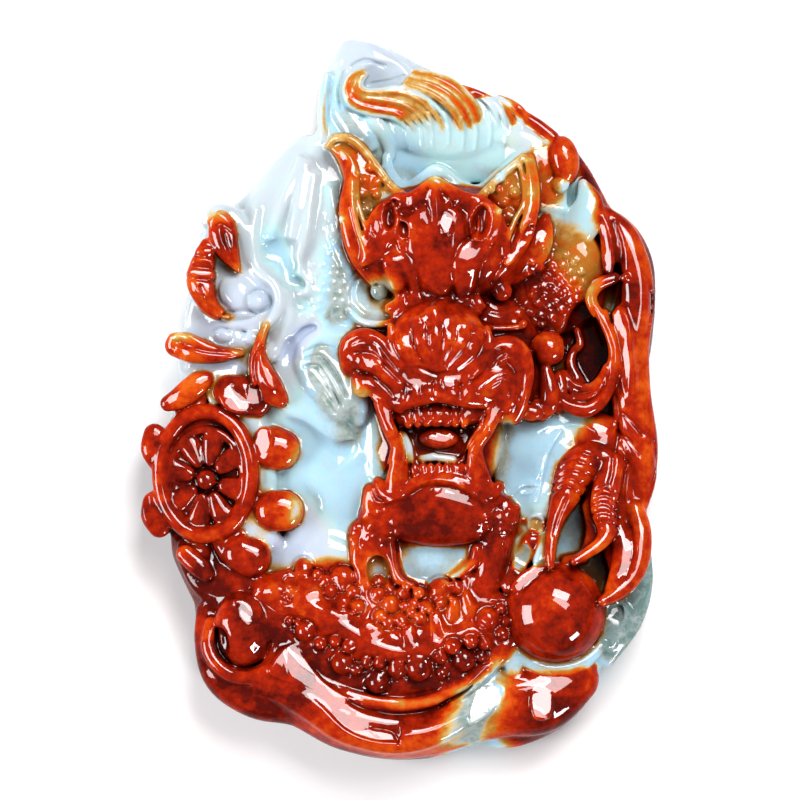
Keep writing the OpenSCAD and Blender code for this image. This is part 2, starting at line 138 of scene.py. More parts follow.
class Stone:
    """A block of signed distances on a grid in millimetres, negative inside the stone.

    Places come as columns and rows of the picture, half widths in rows, and heights in hundredths
    of the relief over the block.
    """

    def __init__(self, low, high, step, column, row, middle, face, depth, root):
        self.step, self.column, self.row = step, column, row
        self.middle = np.array(middle, dtype=float)
        self.face, self.depth, self.root = face, depth, root
        self.low = np.array(low, dtype=float)
        self.counts = [int(math.ceil((high[k] - low[k]) / step)) + 1 for k in range(3)]
        self.axes = [(low[k] + step * np.arange(self.counts[k])).astype(np.float32) for k in range(3)]
        self.field = np.full(self.counts, 3.0, np.float32)
        self.paint = np.zeros(self.counts, np.uint8)
        self.crest = None
        self.plan_edge = None

    def spots(self, places):
        """Millimetres across and up for places given as columns and rows of the picture."""
        places = np.asarray(places, dtype=float)
        return (places[..., :2] - self.middle) * [self.column, -self.row]

    def level(self, share):
        """Height in millimetres for a height in hundredths of the relief."""
        return self.face + self.depth * share / 100.0

    def window(self, low, high):
        """The part of the grid between two corners, and its places along each axis."""
        cut = []
        for k in range(3):
            first = max(0, int(math.floor((low[k] - self.low[k]) / self.step)))
            last = min(self.counts[k], int(math.ceil((high[k] - self.low[k]) / self.step)) + 1)
            cut.append(slice(first, max(first, last)))
        x = self.axes[0][cut[0]][:, None, None]
        y = self.axes[1][cut[1]][None, :, None]
        z = self.axes[2][cut[2]][None, None, :]
        return tuple(cut), x, y, z

    def join(self, cut, shape, reach, paint):
        """Adds a form and paints what it adds."""
        old = self.field[cut]
        spots = self.paint[cut]
        spots[shape < old] = paint
        self.field[cut] = blend_min(old, shape, reach)

    def cut_away(self, cut, shape, reach, paint=None):
        """Takes a form out, and paints what it bares if a paint is given."""
        old = self.field[cut]
        if paint is not None:
            spots = self.paint[cut]
            spots[-shape > old] = paint
        self.field[cut] = -blend_min(-old, shape, reach)

    def plan_distance(self, rim, x, y):
        """Distance from a closed outline in the plan, negative inside it."""
        best = np.full(x.shape, 1e9)
        inside = np.zeros(x.shape, bool)
        for a, b in zip(rim, np.roll(rim, -1, axis=0)):
            best = np.minimum(best, beside(x, y, a, b)[1])
            if a[1] != b[1]:
                crosses = (a[1] > y) != (b[1] > y)
                inside ^= crosses & (x < a[0] + (y - a[1]) / (b[1] - a[1]) * (b[0] - a[0]))
        return best * np.where(inside, -1, 1)

    def facet(self, outline, height, lean, blend=0.15):
        """Grinds a flat face inside an outline: its height at the middle, its rise to the right and up."""
        rim = self.spots(closed_path(outline, 3))
        low, high = rim.min(axis=0) - blend - ROOM, rim.max(axis=0) + blend + ROOM
        cx, cy = rim.mean(axis=0)
        cut, gx, gy, gz = self.window([low[0], low[1], self.root], [high[0], high[1], self.axes[2][-1]])
        x, y = np.meshgrid(gx[:, 0, 0], gy[0, :, 0], indexing="ij")
        flat = self.plan_distance(rim, x, y)[:, :, None]
        over = gz - self.level(height) - lean[0] * (gx - cx) - lean[1] * (gy - cy)
        rise = over / math.sqrt(1 + lean[0] ** 2 + lean[1] ** 2)
        old = np.array(self.paint[cut])
        self.join(cut, np.maximum(flat, rise).astype(np.float32), blend, SKIN)
        self.paint[cut] = np.where(old > 0, old, self.paint[cut])
        self.cut_away(cut, np.maximum(flat, -rise).astype(np.float32), blend)

    def slab(self, outline, thickness, edge, paint):
        """The block: an outline with a thickness and rounded edges."""
        rim = self.spots(closed_path(outline, 4))
        x, y = np.meshgrid(self.axes[0], self.axes[1], indexing="ij")
        flat = self.plan_distance(rim, x, y)
        self.plan_edge = flat.astype(np.float32)
        z = self.axes[2][None, None, :]
        out = (flat + edge).astype(np.float32)[:, :, None]
        up = np.abs(z - thickness / 2) - thickness / 2 + edge
        corner = np.sqrt(np.maximum(out, 0) ** 2 + np.maximum(up, 0) ** 2)
        shape = np.minimum(np.maximum(out, up), 0) + corner - edge
        self.join((slice(None),) * 3, shape.astype(np.float32), 0, paint)

    def nearest(self, rows, reach, lowest, highest):
        """The nearest place of a path under each place of the plan: distance, half width and height."""
        rows = np.asarray(rows, dtype=float)
        steps = 1
        if len(rows) > 2:
            steps = int(min(max(np.hypot(*np.diff(rows[:, :2], axis=0).T).max() / 3, 3), 12))
        path = smooth_path(rows, steps)
        spots = self.spots(path)
        half = np.maximum(path[:, 2] * self.row, 0.05)
        margin = half.max() + reach
        low = [spots[:, 0].min() - margin, spots[:, 1].min() - margin, lowest]
        high = [spots[:, 0].max() + margin, spots[:, 1].max() + margin, highest]
        cut, x, y, z = self.window(low, high)
        x, y = x[:, :, 0], y[:, :, 0]
        best = np.full((x.shape[0], y.shape[1]), 1e9)
        far, wide, tall = best.copy(), np.ones_like(best), np.zeros_like(best)
        for i in range(len(spots) - 1):
            t, d = beside(x, y, spots[i], spots[i + 1])
            w = half[i] + (half[i + 1] - half[i]) * t
            closer = d / w < best
            best = np.where(closer, d / w, best)
            far = np.where(closer, d, far)
            wide = np.where(closer, w, wide)
            tall = np.where(closer, path[i, 3] + (path[i + 1, 3] - path[i, 3]) * t, tall)
        return cut, z, far[:, :, None], wide[:, :, None], self.level(tall)[:, :, None]

    def stroke_shape(self, rows, crown, root, tube, reach):
        """Distances to a strand along rows of column, row, half width and height."""
        heights = self.level(np.asarray(rows, dtype=float)[:, 3])
        lowest = heights.min() - 3 if tube else root - ROOM
        cut, z, far, wide, tall = self.nearest(rows, reach, lowest, heights.max() + reach + ROOM)
        rise = np.minimum(crown * wide, tall - root - 0.05)
        stretch = wide / rise
        dz = z - (tall - rise)
        if not tube:
            dz = np.maximum(dz, 0)
        near = np.sqrt(far**2 + (dz * stretch) ** 2)
        steep = np.sqrt(far**2 + dz**2 * stretch**4) / np.maximum(near, 1e-6)
        shape = (near - wide) / np.maximum(steep, 0.2)
        if not tube:
            shape = np.maximum(shape, root - z)
        return cut, shape.astype(np.float32)

    def ridge(self, rows, crown, blend, paint, root=None):
        """A rounded ridge that stands on the block, or on a root height in millimetres."""
        foot = self.root if root is None else root
        cut, shape = self.stroke_shape(rows, crown, foot, False, blend + ROOM)
        self.join(cut, shape, blend, paint)

    def ridges(self, paths, crown, blend, paint, root=None):
        """A ridge along each path."""
        for rows in paths:
            self.ridge(rows, crown, blend, paint, root)

    def tube(self, rows, crown, blend, paint):
        """A round strand that hangs free of the ground under it."""
        cut, shape = self.stroke_shape(rows, crown, 0.0, True, blend + ROOM)
        self.join(cut, shape, blend, paint)

    def channel(self, rows, blend):
        """Cuts a round-bottomed channel whose floor is at the rows' height."""
        floors = self.level(np.asarray(rows, dtype=float)[:, 3])
        lowest = floors.min() - blend - ROOM
        cut, z, far, wide, floor = self.nearest(rows, blend + ROOM, lowest, self.axes[2][-1])
        dz = np.minimum(z - (floor + wide), 0)
        self.cut_away(cut, (np.sqrt(far**2 + dz**2) - wide).astype(np.float32), blend)

    def dome_shape(self, place, root, below, reach):
        """Distances to an oval dome, or to the whole oval where it also goes below its middle."""
        x0, y0, across, along, height, crown, turn = place
        cx, cy = self.spots([x0, y0])
        rx, ry = across * self.row, along * self.row
        crest = self.level(height)
        rise = min(crown * min(rx, ry), crest - root - 0.05)
        big = max(rx, ry) + reach
        lowest = (crest - 2 * rise - 0.4) if below else root - ROOM
        cut, x, y, z = self.window([cx - big, cy - big, lowest], [cx + big, cy + big, crest + reach])
        u, v = turned(x - cx, y - cy, turn)
        dz = z - (crest - rise)
        if not below:
            dz = np.maximum(dz, 0)
        shape = oval_distance(u, v, dz, rx, ry, rise)
        if not below:
            shape = np.maximum(shape, root - z)
        return cut, shape.astype(np.float32)

    def domes(self, places, blend, paint=None):
        """Domes that stand on the block. A place may bring its own paint as its eighth value."""
        for place in places:
            cut, shape = self.dome_shape(place[:7], self.root, False, blend + ROOM)
            self.join(cut, shape, blend, place[7] if len(place) > 7 else paint)

    def ball(self, x, y, radius, height, crown, blend, paint):
        """A ball with its top at a height."""
        cut, shape = self.dome_shape((x, y, radius, radius, height, crown, 0), 0.0, True, 0.5)
        self.join(cut, shape, blend, paint)

    def scoops(self, places, blend, paint=None):
        """Cuts hollows like the inside of a bowl: place, half widths, floor, crown and turn of each."""
        for place in places:
            x, y, across, along, floor, crown, turn = place[:7]
            cx, cy = self.spots([x, y])
            rx, ry = across * self.row, along * self.row
            base = self.level(floor)
            rise = crown * min(rx, ry)
            big = max(rx, ry) + blend + ROOM
            low = [cx - big, cy - big, base - blend - ROOM]
            cut, gx, gy, gz = self.window(low, [cx + big, cy + big, self.axes[2][-1]])
            u, v = turned(gx - cx, gy - cy, turn)
            shape = oval_distance(u, v, np.minimum(gz - (base + rise), 0), rx, ry, rise)
            bared = place[7] if len(place) > 7 else paint
            self.cut_away(cut, shape.astype(np.float32), blend, bared)

    def engrave(self, paths, depth, steps=4):
        """Sinks the surface along lines of column, row and half width. A negative depth raises it."""
        for rows in paths:
            path = smooth_path(rows, steps)
            pts = self.spots(path)
            half = path[:, 2] * self.row
            reach = half.max() * 1.05
            lo = [pts[:, 0].min() - reach, pts[:, 1].min() - reach, ENGRAVE_FLOOR]
            hi = [pts[:, 0].max() + reach, pts[:, 1].max() + reach, self.axes[2][-1]]
            cut, x, y, _ = self.window(lo, hi)
            x, y = x[:, :, 0], y[:, :, 0]
            near = np.full((x.shape[0], y.shape[1]), 9.0)
            for i in range(len(pts) - 1):
                t, d = beside(x, y, pts[i], pts[i + 1])
                near = np.minimum(near, d / np.maximum(half[i] + (half[i + 1] - half[i]) * t, 0.02))
            press = depth * np.clip(1 - near**2, 0, 1) ** 2
            self.field[cut] += press[:, :, None].astype(np.float32)

    def rings(self, places, points=12):
        """Engraves ovals: place, half widths, line width, depth and turn of each."""
        for x, y, across, along, width, depth, turn in places:
            co, si = math.cos(math.radians(turn)), math.sin(math.radians(turn))
            rows = []
            for k in range(points + 1):
                a = math.radians(360 * k / points)
                u, v = across * math.cos(a), along * math.sin(a)
                rows.append([x + u * co - v * si, y - u * si - v * co, width])
            self.engrave([rows], depth, 2)

    def press(self, x, y, across, along, depth, turn):
        """Sinks an oval hollow into the surface, whatever its slope."""
        cx, cy = self.spots([x, y])
        rx, ry = across * self.row, along * self.row
        big = max(rx, ry) * 1.3
        low = [cx - big, cy - big, ENGRAVE_FLOOR]
        cut, gx, gy, _ = self.window(low, [cx + big, cy + big, self.axes[2][-1]])
        u, v = turned(gx - cx, gy - cy, turn)
        far = np.sqrt((u / rx) * (u / rx) + (v / ry) * (v / ry))
        self.field[cut] += (depth * np.clip((1.15 - far) / 0.45, 0, 1)).astype(np.float32)

    def find_crest(self):
        """Height of the upper surface over each place of the plan."""
        inside = self.field < 0
        top = inside.shape[2] - 1 - np.argmax(inside[:, :, ::-1], axis=2)
        found = inside.any(axis=2)
        top = np.minimum(top, inside.shape[2] - 2)
        i, j = np.indices(top.shape)
        a, b = self.field[i, j, top], self.field[i, j, top + 1]
        part = np.where(b > a, -a / np.maximum(b - a, 1e-6), 0)
        z = self.axes[2][top] + self.step * np.clip(part, 0, 1)
        self.crest = np.where(found, z, 0.0)
        return self.crest

    def crest_at(self, x, y):
        """Height of the upper surface at a column and row."""
        across, up = self.spots([x, y])
        i = int(round((across - self.low[0]) / self.step))
        j = int(round((up - self.low[1]) / self.step))
        i = min(max(i, 0), self.counts[0] - 1)
        j = min(max(j, 0), self.counts[1] - 1)
        return self.crest[i, j]

    def seat(self, x, y, radius, stand, paint, blend=0.04):
        """A bead that stands out of the surface by a share of its radius."""
        top = self.crest_at(x, y) + stand * radius * self.row
        share = (top - self.face) / self.depth * 100
        self.ball(x, y, radius, share, 1.0, blend, paint)


def widened(rows, share, lift=0):
    """A path with its half widths times a share, and its heights raised by a lift."""
    return [[column, row, share * width, height + lift] for column, row, width, height in rows]


# Outline of the block, clockwise from the left foot of the peak: column and row of the picture
OUTLINE = [
    [318, 150], [318, 110], [321, 88], [331, 62], [342, 48], [354, 41], [370, 44], [395, 52], [410, 59],
    [437, 74], [460, 87], [478, 96], [496, 97], [515, 107], [530, 119], [550, 131], [568, 140], [576, 150],
    [590, 170], [601, 190], [612, 210], [622, 215], [640, 232], [653, 262], [655, 300], [651, 345],
    [646, 370], [651, 405], [657, 445], [651, 490], [642, 520], [647, 560], [639, 600], [617, 640],
    [600, 662], [590, 685], [576, 709], [550, 733], [515, 747], [485, 746], [460, 748], [440, 754],
    [420, 758], [370, 755], [330, 741], [300, 721], [290, 715], [250, 708], [220, 687], [203, 655],
    [199, 620], [190, 585], [175, 550], [166, 510], [166, 450], [172, 410], [180, 380], [186, 362],
    [188, 335], [190, 300], [198, 262], [210, 225], [235, 204], [262, 182], [303, 141],
]

# In the tables, a strand is a path of column, row, half width in rows and height in hundredths of the relief.
# A line or a bead leaves out the height. A dome or hollow is a column, row, half width, half length, height,
# crown and turn in degrees, some with a paint.
PEAK_MASS = [[352, 66, 18, 24], [348, 100, 27, 27], [345, 140, 26, 26], [342, 180, 22, 22]]
PEAK_CROWN = [[348, 50, 10, 22], [370, 62, 18, 30], [395, 74, 14, 30]]
HAIR_MASS = [[385, 84, 18, 28], [415, 96, 24, 32], [450, 108, 24, 33], [490, 122, 20, 30], [530, 138, 14, 28]]
HOLLOW_RIM = [
    [386, 158, 5, 34], [389, 172, 6, 40], [398, 185, 7, 44], [410, 187, 7, 46], [424, 178, 7, 48],
    [435, 171, 7, 50], [446, 176, 7, 48], [460, 188, 7, 46], [480, 191, 7, 44], [500, 176, 8, 42],
    [520, 162, 8, 40], [548, 148, 6, 34],
]
CRESCENT = [[366, 122, 5, 34], [378, 127, 8, 38], [386, 140, 7, 36], [390, 156, 5, 32]]
SOFT_LOBE = [[344, 112, 12, 32], [354, 126, 13, 36], [364, 138, 11, 37], [370, 145, 7, 34]]
PEAK_STREAK = [[326, 76, 4, 26], [323, 95, 4, 28], [322, 120, 4, 28], [323, 138, 4, 26]]
LEAF = [[502, 136, 5, 32], [520, 138, 9, 35], [540, 144, 6, 33]]
PEAK_DIP = [380, 78, 20, 12, 26, 0.25, 8]
HAIR_HOLLOW = [440, 168, 62, 24, 24, 0.5, 0]
HAIR_POOL = [
    [380, 128, 14, 29], [397, 132, 14, 31], [425, 136, 18, 32], [455, 138, 18, 32], [484, 134, 14, 30],
    [508, 120, 12, 29], [522, 130, 12, 29],
]
HAIR_FLOOR = [
    [388, 150, 14, 26], [400, 162, 16, 24], [425, 162, 20, 24], [455, 160, 22, 24], [488, 160, 20, 26],
    [512, 154, 12, 29],
]

# Hair locks: path, with the paint of each
HAIR_LOCKS = [
    (SKIN, [[508, 104, 3, 26], [522, 115, 5, 31], [538, 126, 6, 33], [552, 137, 6, 33]]),
    (SKIN, [[462, 88, 3, 30], [474, 93, 4, 33], [486, 97, 3, 32]]),
]
# Combed locks: the paints of the strands, the first strand and the last
COMBS = [
    ((JADE, THIN, CLEAR, THIN, RUST, RUST, JADE),
     [[366, 75, 2, 38], [361, 83, 2.4, 41], [363, 90, 2.6, 43], [378, 91, 2.6, 43], [398, 88, 2.6, 43],
      [418, 94, 2.6, 41], [436, 107, 2.4, 38], [449, 126, 1.8, 32], [454, 144, 1.2, 24]],
     [[361, 71, 2, 36], [349, 77, 2.4, 38], [344, 91, 2.6, 40], [350, 106, 2.6, 40], [370, 114, 2.6, 39],
      [390, 117, 2.6, 37], [402, 124, 2.4, 34], [408, 136, 1.8, 29], [410, 148, 1.2, 23]]),
    ((CLEAR, RUST, JADE, RUST, JADE, THIN),
     [[415, 71, 2, 36], [435, 75, 2.6, 39], [453, 83, 3, 40], [467, 95, 2.6, 39], [477, 109, 2.2, 35],
      [481, 122, 1.6, 30], [482, 134, 1.2, 24]],
     [[404, 84, 2, 40], [424, 91, 2.6, 42], [440, 100, 3, 42], [452, 112, 2.6, 39], [459, 126, 2, 34],
      [462, 138, 1.5, 28], [462, 150, 1.2, 22]]),
    ((RUST, JADE, RUST, JADE, JADE),
     [[498, 97, 2, 30], [508, 101, 2.6, 33], [518, 107, 2.6, 34], [525, 115, 2.6, 33], [530, 124, 2.2, 31],
      [533, 132, 2, 29]],
     [[480, 98, 2, 32], [488, 103, 2.6, 36], [494, 112, 2.6, 36], [497, 124, 2.2, 33], [497, 134, 1.6, 28],
      [494, 142, 1.2, 24]]),
]
# Fine strands that fall from the locks into the hollow
FALLS = [
    [[398, 118, 1.6], [406, 132, 1.6], [408, 150, 1.4]],
    [[414, 116, 1.6], [420, 130, 1.6], [421, 150, 1.4]],
    [[428, 114, 1.6], [431, 130, 1.6], [432, 148, 1.4]],
    [[444, 112, 1.6], [448, 128, 1.6], [448, 146, 1.4]],
    [[460, 118, 1.6], [463, 132, 1.6], [462, 150, 1.4]],
    [[472, 116, 1.6], [476, 132, 1.6], [474, 150, 1.4]],
    [[486, 112, 1.6], [490, 128, 1.6], [489, 146, 1.4]],
    [[500, 112, 1.6], [506, 128, 1.6], [503, 146, 1.4]],
]
# Fine grooves between the hair strands
HAIR_LINES = [
    [[370, 84, 2], [392, 80, 2], [404, 76, 1.5]], [[352, 66, 2], [366, 60, 2.5], [384, 66, 2]],
    [[340, 110, 2], [338, 90, 2.5], [344, 72, 2]],
]

LOTUS_BOWL = [442, 243, 102, 60, 80, 0.85, 0]
LOTUS_BELLY = [440, 258, 78, 40, 85, 0.9, 0]
LOTUS_WALLS = [
    (SKIN,
     [[374, 278, 8, 62], [358, 258, 8, 72], [349, 232, 8, 75], [346, 205, 7, 73], [350, 180, 6, 67],
      [346, 162, 5, 60], [334, 149, 4, 53]]),
    (THIN,
     [[327, 147, 3, 52], [335, 139, 4, 58], [348, 139, 4, 62], [360, 147, 4, 62], [370, 159, 4, 61],
      [380, 173, 4, 61], [390, 186, 4, 64], [400, 195, 5, 72]]),
    (SKIN,
     [[492, 276, 8, 64], [510, 258, 8, 72], [524, 234, 8, 73], [532, 206, 6, 68], [533, 182, 5, 61],
      [529, 158, 4, 51]]),
    (THIN, [[480, 198, 5, 72], [490, 186, 4, 64], [506, 172, 4, 58], [522, 158, 4, 52]]),
    (SKIN,
     [[364, 262, 5, 77], [366, 244, 5, 78], [369, 228, 5, 77], [378, 212, 5, 77], [390, 204, 6, 79],
      [402, 200, 7, 82]]),
    (SKIN, [[504, 254, 5, 77], [503, 238, 5, 78], [498, 220, 5, 77], [488, 207, 6, 78], [476, 202, 7, 82]]),
]
POCKETS = [
    [[340, 149, 8, 52], [350, 160, 12, 56], [364, 184, 18, 58], [368, 206, 16, 60], [367, 230, 12, 64]],
    [[520, 170, 9, 48], [510, 184, 16, 56], [508, 206, 17, 58], [507, 230, 13, 64]],
]
POCKET_HOLLOWS = [[364, 207, 13, 17, 54, 0.6, 5, CLEAR], [508, 214, 14, 17, 54, 0.6, -5, SKIN]]
LOTUS_UNDER = [
    [382, 236, 11, 76], [390, 216, 13, 78], [408, 207, 13, 82], [434, 200, 12, 86], [458, 207, 13, 82],
    [480, 216, 13, 79], [488, 236, 11, 77],
]
LOTUS_RIM = [
    [396, 198, 4, 80], [408, 198, 4.5, 84], [418, 193, 5, 87], [427, 186, 5, 90], [434, 182, 5, 91],
    [442, 186, 5, 90], [452, 192, 5, 87], [464, 197, 4.5, 84], [478, 200, 4, 80],
]
LOTUS_FOLDS = [
    [[374, 256, 5, 79], [382, 240, 6, 82], [393, 234, 5, 84]],
    [[400, 222, 4, 84], [410, 230, 5, 86], [412, 246, 5, 85]],
    [[489, 218, 6, 82], [489, 232, 8, 84], [478, 248, 9, 85], [460, 262, 7, 85]],
    [[420, 206, 8, 86], [424, 224, 12, 88], [426, 246, 12, 88], [430, 274, 10, 85]],
    [[446, 208, 8, 87], [450, 226, 12, 88], [446, 254, 12, 88], [440, 284, 10, 82]],
    [[392, 266, 8, 83], [397, 284, 7, 78]], [[464, 270, 9, 83], [464, 288, 8, 76]],
]
LOTUS_KEEL = [[434, 188, 4, 91], [433, 202, 6, 91], [432, 222, 5, 90], [432, 246, 4, 88]]
LOTUS_OUTER = [[545, 218, 4, 46], [540, 240, 12, 54], [528, 262, 12, 52], [508, 276, 8, 46]]
LOTUS_STRANDS = [
    [[519, 166, 2, 56], [523, 186, 2.5, 62], [522, 204, 2.5, 67], [513, 222, 2.5, 73], [507, 238, 2, 77]],
    [[526, 162, 2, 56], [529, 184, 2.5, 64], [528, 206, 2.5, 69], [520, 228, 2, 74]],
    [[352, 180, 2, 69], [352, 206, 2.5, 76], [357, 228, 2.5, 78], [364, 250, 2, 79]],
    [[341, 151, 2, 58], [349, 158, 2.5, 61], [355, 170, 2, 63]],
    [[357, 176, 2, 64], [357, 200, 2.5, 70], [364, 226, 2, 76]],
]
# Hollows cut into the petals: place, half width, half length, depth in millimetres, turn
LOTUS_HOLLOWS = [
    [405, 213, 10, 4.5, 0.22, 12], [418, 208, 10, 4.5, 0.24, 32], [446, 202, 9, 4.5, 0.24, -48],
    [457, 208, 10, 4.5, 0.24, -25], [389, 218, 5, 11, 0.35, 0], [403, 230, 4, 7, 0.2, 0],
    [480, 223, 8, 15, 0.35, -10],
]
# Rings, here and below: place, half width, half length, line width, depth in millimetres, turn
LOTUS_RINGS = [
    [389, 218, 8, 15, 2.5, -0.25, 0], [403, 231, 6, 9, 2, -0.15, 0], [480, 223, 11, 19, 2.5, -0.25, -8],
]
LOTUS_GROOVES = [
    [[379, 264, 2.5], [384, 280, 4.5], [391, 297, 4]], [[399, 264, 2.5], [404, 280, 5], [408, 300, 4]],
    [[452, 262, 2.5], [451, 278, 5.5], [452, 300, 5]], [[482, 264, 2.5], [477, 280, 5], [472, 296, 4]],
    [[416, 270, 2], [419, 284, 3.5], [424, 298, 3]], [[366, 268, 3], [376, 284, 4]],
    [[500, 266, 3], [490, 282, 4]], [[472, 236, 2.5], [458, 246, 3.5], [453, 260, 3]],
]
LOTUS_SEEDS = [
    [371, 168, 5], [364, 181, 5.5], [376, 183, 5.5], [362, 194, 5.5], [376, 195, 5.5], [387, 190, 5],
    [366, 210, 7], [385, 180, 3.5], [357, 174, 3.5], [499, 178, 5], [489, 189, 5.5], [513, 194, 6.5],
    [503, 203, 5.5], [517, 206, 4.5], [507, 216, 8.5], [498, 191, 4], [506, 184, 4], [497, 212, 4],
]

# Eyeballs: place, radius, height, paint
EYES = [[501, 291, 10, 60, SKIN], [379, 291, 9, 54, THIN]]
EYE_SOCKETS = [[500, 293, 19, 14, 50, 0.5, 0, DARK], [378, 292, 18, 13, 48, 0.5, 0, CLEAR]]
EYE_CREASES = [
    [500, 292, 16, 15, 2, -0.14, 0], [500, 293, 22, 20, 2, -0.16, 0], [500, 295, 28, 27, 2.5, -0.14, 0],
    [377, 293, 22, 20, 2, -0.14, 0], [376, 295, 29, 27, 2.5, -0.12, 0],
]
EYE_POUCHES = [
    [[464, 306, 2.5, 68], [471, 320, 3, 70], [486, 327, 3.5, 70], [504, 328, 3.5, 68], [522, 326, 3, 64]],
    [[394, 322, 3, 70], [376, 324, 3.5, 67], [360, 320, 3, 61], [350, 310, 3, 54]],
]
FOREHEAD = [434, 306, 50, 18, 72, 0.6, 0]
NOSE_BODY = [438, 340, 47, 40, 94, 0.62, 0]
NOSE_RIBS = [
    [[402, 330, 7, 86], [404, 344, 10, 95], [413, 360, 7, 92]],
    [[420, 322, 7, 92], [421, 340, 8, 100], [428, 361, 6, 94]],
    [[433, 314, 8, 94], [434, 336, 8, 102], [436, 366, 6, 94]],
    [[448, 322, 7, 93], [448, 340, 7, 100], [443, 363, 5, 93]],
    [[463, 328, 6, 90], [460, 344, 7, 97], [449, 365, 5, 91]],
    [[477, 334, 6, 86], [470, 350, 7, 93], [454, 368, 5, 89]],
]
NOSE_LINES = [
    [[411, 330, 1.5], [413, 344, 2.5], [423, 364, 1.5]],
    [[426, 324, 1.5], [427, 342, 2.5], [432, 366, 1.5]],
    [[441, 324, 1.5], [441, 342, 2.5], [438, 366, 1.5]],
    [[455, 326, 1.5], [453, 343, 2.5], [443, 366, 1.5]],
    [[470, 332, 1.5], [464, 349, 2.5], [448, 368, 1.5]],
]
NOSE_EDGE = [
    [[390, 326, 3, 84], [391, 342, 3.5, 86], [398, 357, 4, 87], [414, 369, 4, 88], [434, 378, 4, 88]],
    [[486, 328, 3, 82], [488, 340, 3.5, 86], [480, 354, 4, 87], [462, 366, 4, 88], [438, 378, 4, 88]],
]
# Rolls of the muzzle: the left nostril's wing, then the right's
WINGS = [
    [[350, 366, 9, 70], [350, 348, 11, 78], [362, 340, 12, 86], [377, 344, 11, 89], [388, 358, 11, 89],
     [402, 372, 11, 88], [420, 384, 9, 86]],
    [[356, 358, 10, 78], [370, 360, 13, 86], [388, 374, 12, 88], [404, 386, 10, 86]],
    [[360, 378, 8, 74], [374, 382, 9, 80], [390, 392, 9, 82], [404, 398, 8, 80]],
    [[442, 384, 8, 86], [462, 376, 10, 88], [480, 363, 12, 90], [496, 351, 13, 90], [510, 349, 13, 88],
     [519, 360, 13, 84], [522, 380, 12, 80], [517, 402, 11, 74], [512, 416, 8, 70]],
    [[462, 390, 8, 86], [480, 382, 11, 88], [496, 373, 12, 88], [505, 378, 10, 85], [508, 392, 9, 81],
     [506, 406, 8, 76]],
    [[482, 392, 8, 82], [498, 388, 8, 82], [503, 402, 8, 76], [502, 416, 6, 70]],
]
NOSTRILS = [
    [363, 386, 11, 11, 74, 0.8, 0, THIN], [505, 412, 12, 9, 70, 0.7, 0, SKIN],
    [530, 412, 12, 8, 62, 0.7, 0, SKIN],
]
WING_LINES = [
    [[350, 344, 2], [362, 339, 3], [376, 342, 3], [386, 355, 3], [398, 370, 2]],
    [[356, 353, 2], [372, 354, 2.5], [386, 367, 2.5], [400, 381, 2]],
    [[357, 374, 2], [371, 374, 3], [386, 386, 3], [394, 396, 2]], [[404, 384, 2], [404, 398, 2.5]],
    [[433, 380, 2], [433, 398, 2.5]], [[459, 382, 2], [459, 398, 2.5]], [[420, 388, 1.5], [420, 398, 2]],
    [[470, 382, 2], [488, 366, 3], [502, 354, 3], [516, 358, 3], [522, 376, 3], [518, 398, 2.5]],
    [[480, 388, 2], [498, 376, 3], [510, 380, 3], [508, 400, 2.5]],
    [[533, 352, 2.5], [535, 376, 3.5], [528, 402, 3]],
]
UPPER_LIP = [
    [[388, 400, 7, 78], [400, 401, 9, 84], [414, 396, 11, 89], [428, 393, 10, 90], [438, 392, 10, 90],
     [450, 394, 10, 90], [464, 397, 10, 88], [478, 400, 8, 82], [488, 402, 6, 76]],
    [[374, 396, 4, 74], [386, 402, 4, 77], [400, 409, 4, 78]],
    [[486, 398, 4, 78], [496, 394, 5, 78], [504, 400, 4, 76]],
]
CHEEK_BALL = [547, 348, 18, 17, 70, 0.95, 0]
CHEEK_LEAVES = [
    [[544, 366, 5, 58], [548, 388, 9, 64], [548, 404, 9, 62], [541, 416, 4, 54]],
    [[558, 374, 4, 52], [561, 392, 5, 56], [557, 410, 3, 50]], [[536, 404, 6, 58], [530, 414, 6, 56]],
]
HEAD_MASS = [[440, 352, 100, 72, 58, 0.4, 0], [440, 440, 62, 62, 56, 0.35, 0], [556, 276, 50, 58, 32, 0.3, 0]]
# The mouth's place, half width and half length, and the height of its edge
MOUTH = [437, 434, 36, 30]
MOUTH_EDGE = 70
MOUTH_STRAPS = [
    [[378, 402, 5, 74], [384, 414, 7, 77], [391, 430, 8, 78], [398, 446, 8, 76], [397, 462, 10, 74],
     [396, 486, 12, 68]],
    [[498, 402, 6, 76], [492, 414, 8, 78], [484, 430, 8, 78], [474, 446, 8, 76], [474, 462, 10, 74],
     [480, 488, 13, 68]],
]
STRAP_LINES = [
    [[392, 412, 2], [397, 430, 2], [403, 446, 2], [404, 460, 2]],
    [[486, 414, 2], [478, 432, 2], [468, 448, 2], [465, 462, 2]],
    [[471, 452, 1.5], [480, 466, 2], [486, 480, 2]], [[390, 462, 1.5], [384, 476, 2]],
]
# Teeth: column and half width
UPPER_TEETH = [[408, 6], [417, 5.5], [426, 5.5], [436, 5.5], [446, 5.5], [455, 5], [463, 5]]
LOWER_TEETH = [[414, 4], [422, 4], [430, 4], [438, 4], [446, 4], [454, 4], [461, 4]]
GUM = [
    [391, 411, 8, 66], [404, 414, 10, 70], [420, 415, 11, 72], [438, 415, 11, 73], [456, 415, 11, 72],
    [472, 413, 10, 70], [484, 410, 8, 66],
]
TONGUE = [438, 438, 20, 10, 58, 0.7, 0]
TOOTH_GAPS = [412.5, 421.5, 431, 441, 450.5, 459]
# The jaw pad and the fang are painted near white: painted highlights on the lower gum and the mouth's left
# edge
JAW_PAD_GLINT = [[[421, 458, 3.5, 57], [433, 456, 4, 59]], [[438, 457, 3.5, 58], [452, 459, 4, 58]]]
FANG_GLINT = [[403, 434, 3, 57], [407, 446, 4.5, 61], [409, 458, 4, 61]]
LOWER_GUM = [[408, 474, 6, 62], [436, 472, 6, 64], [466, 474, 6, 62]]
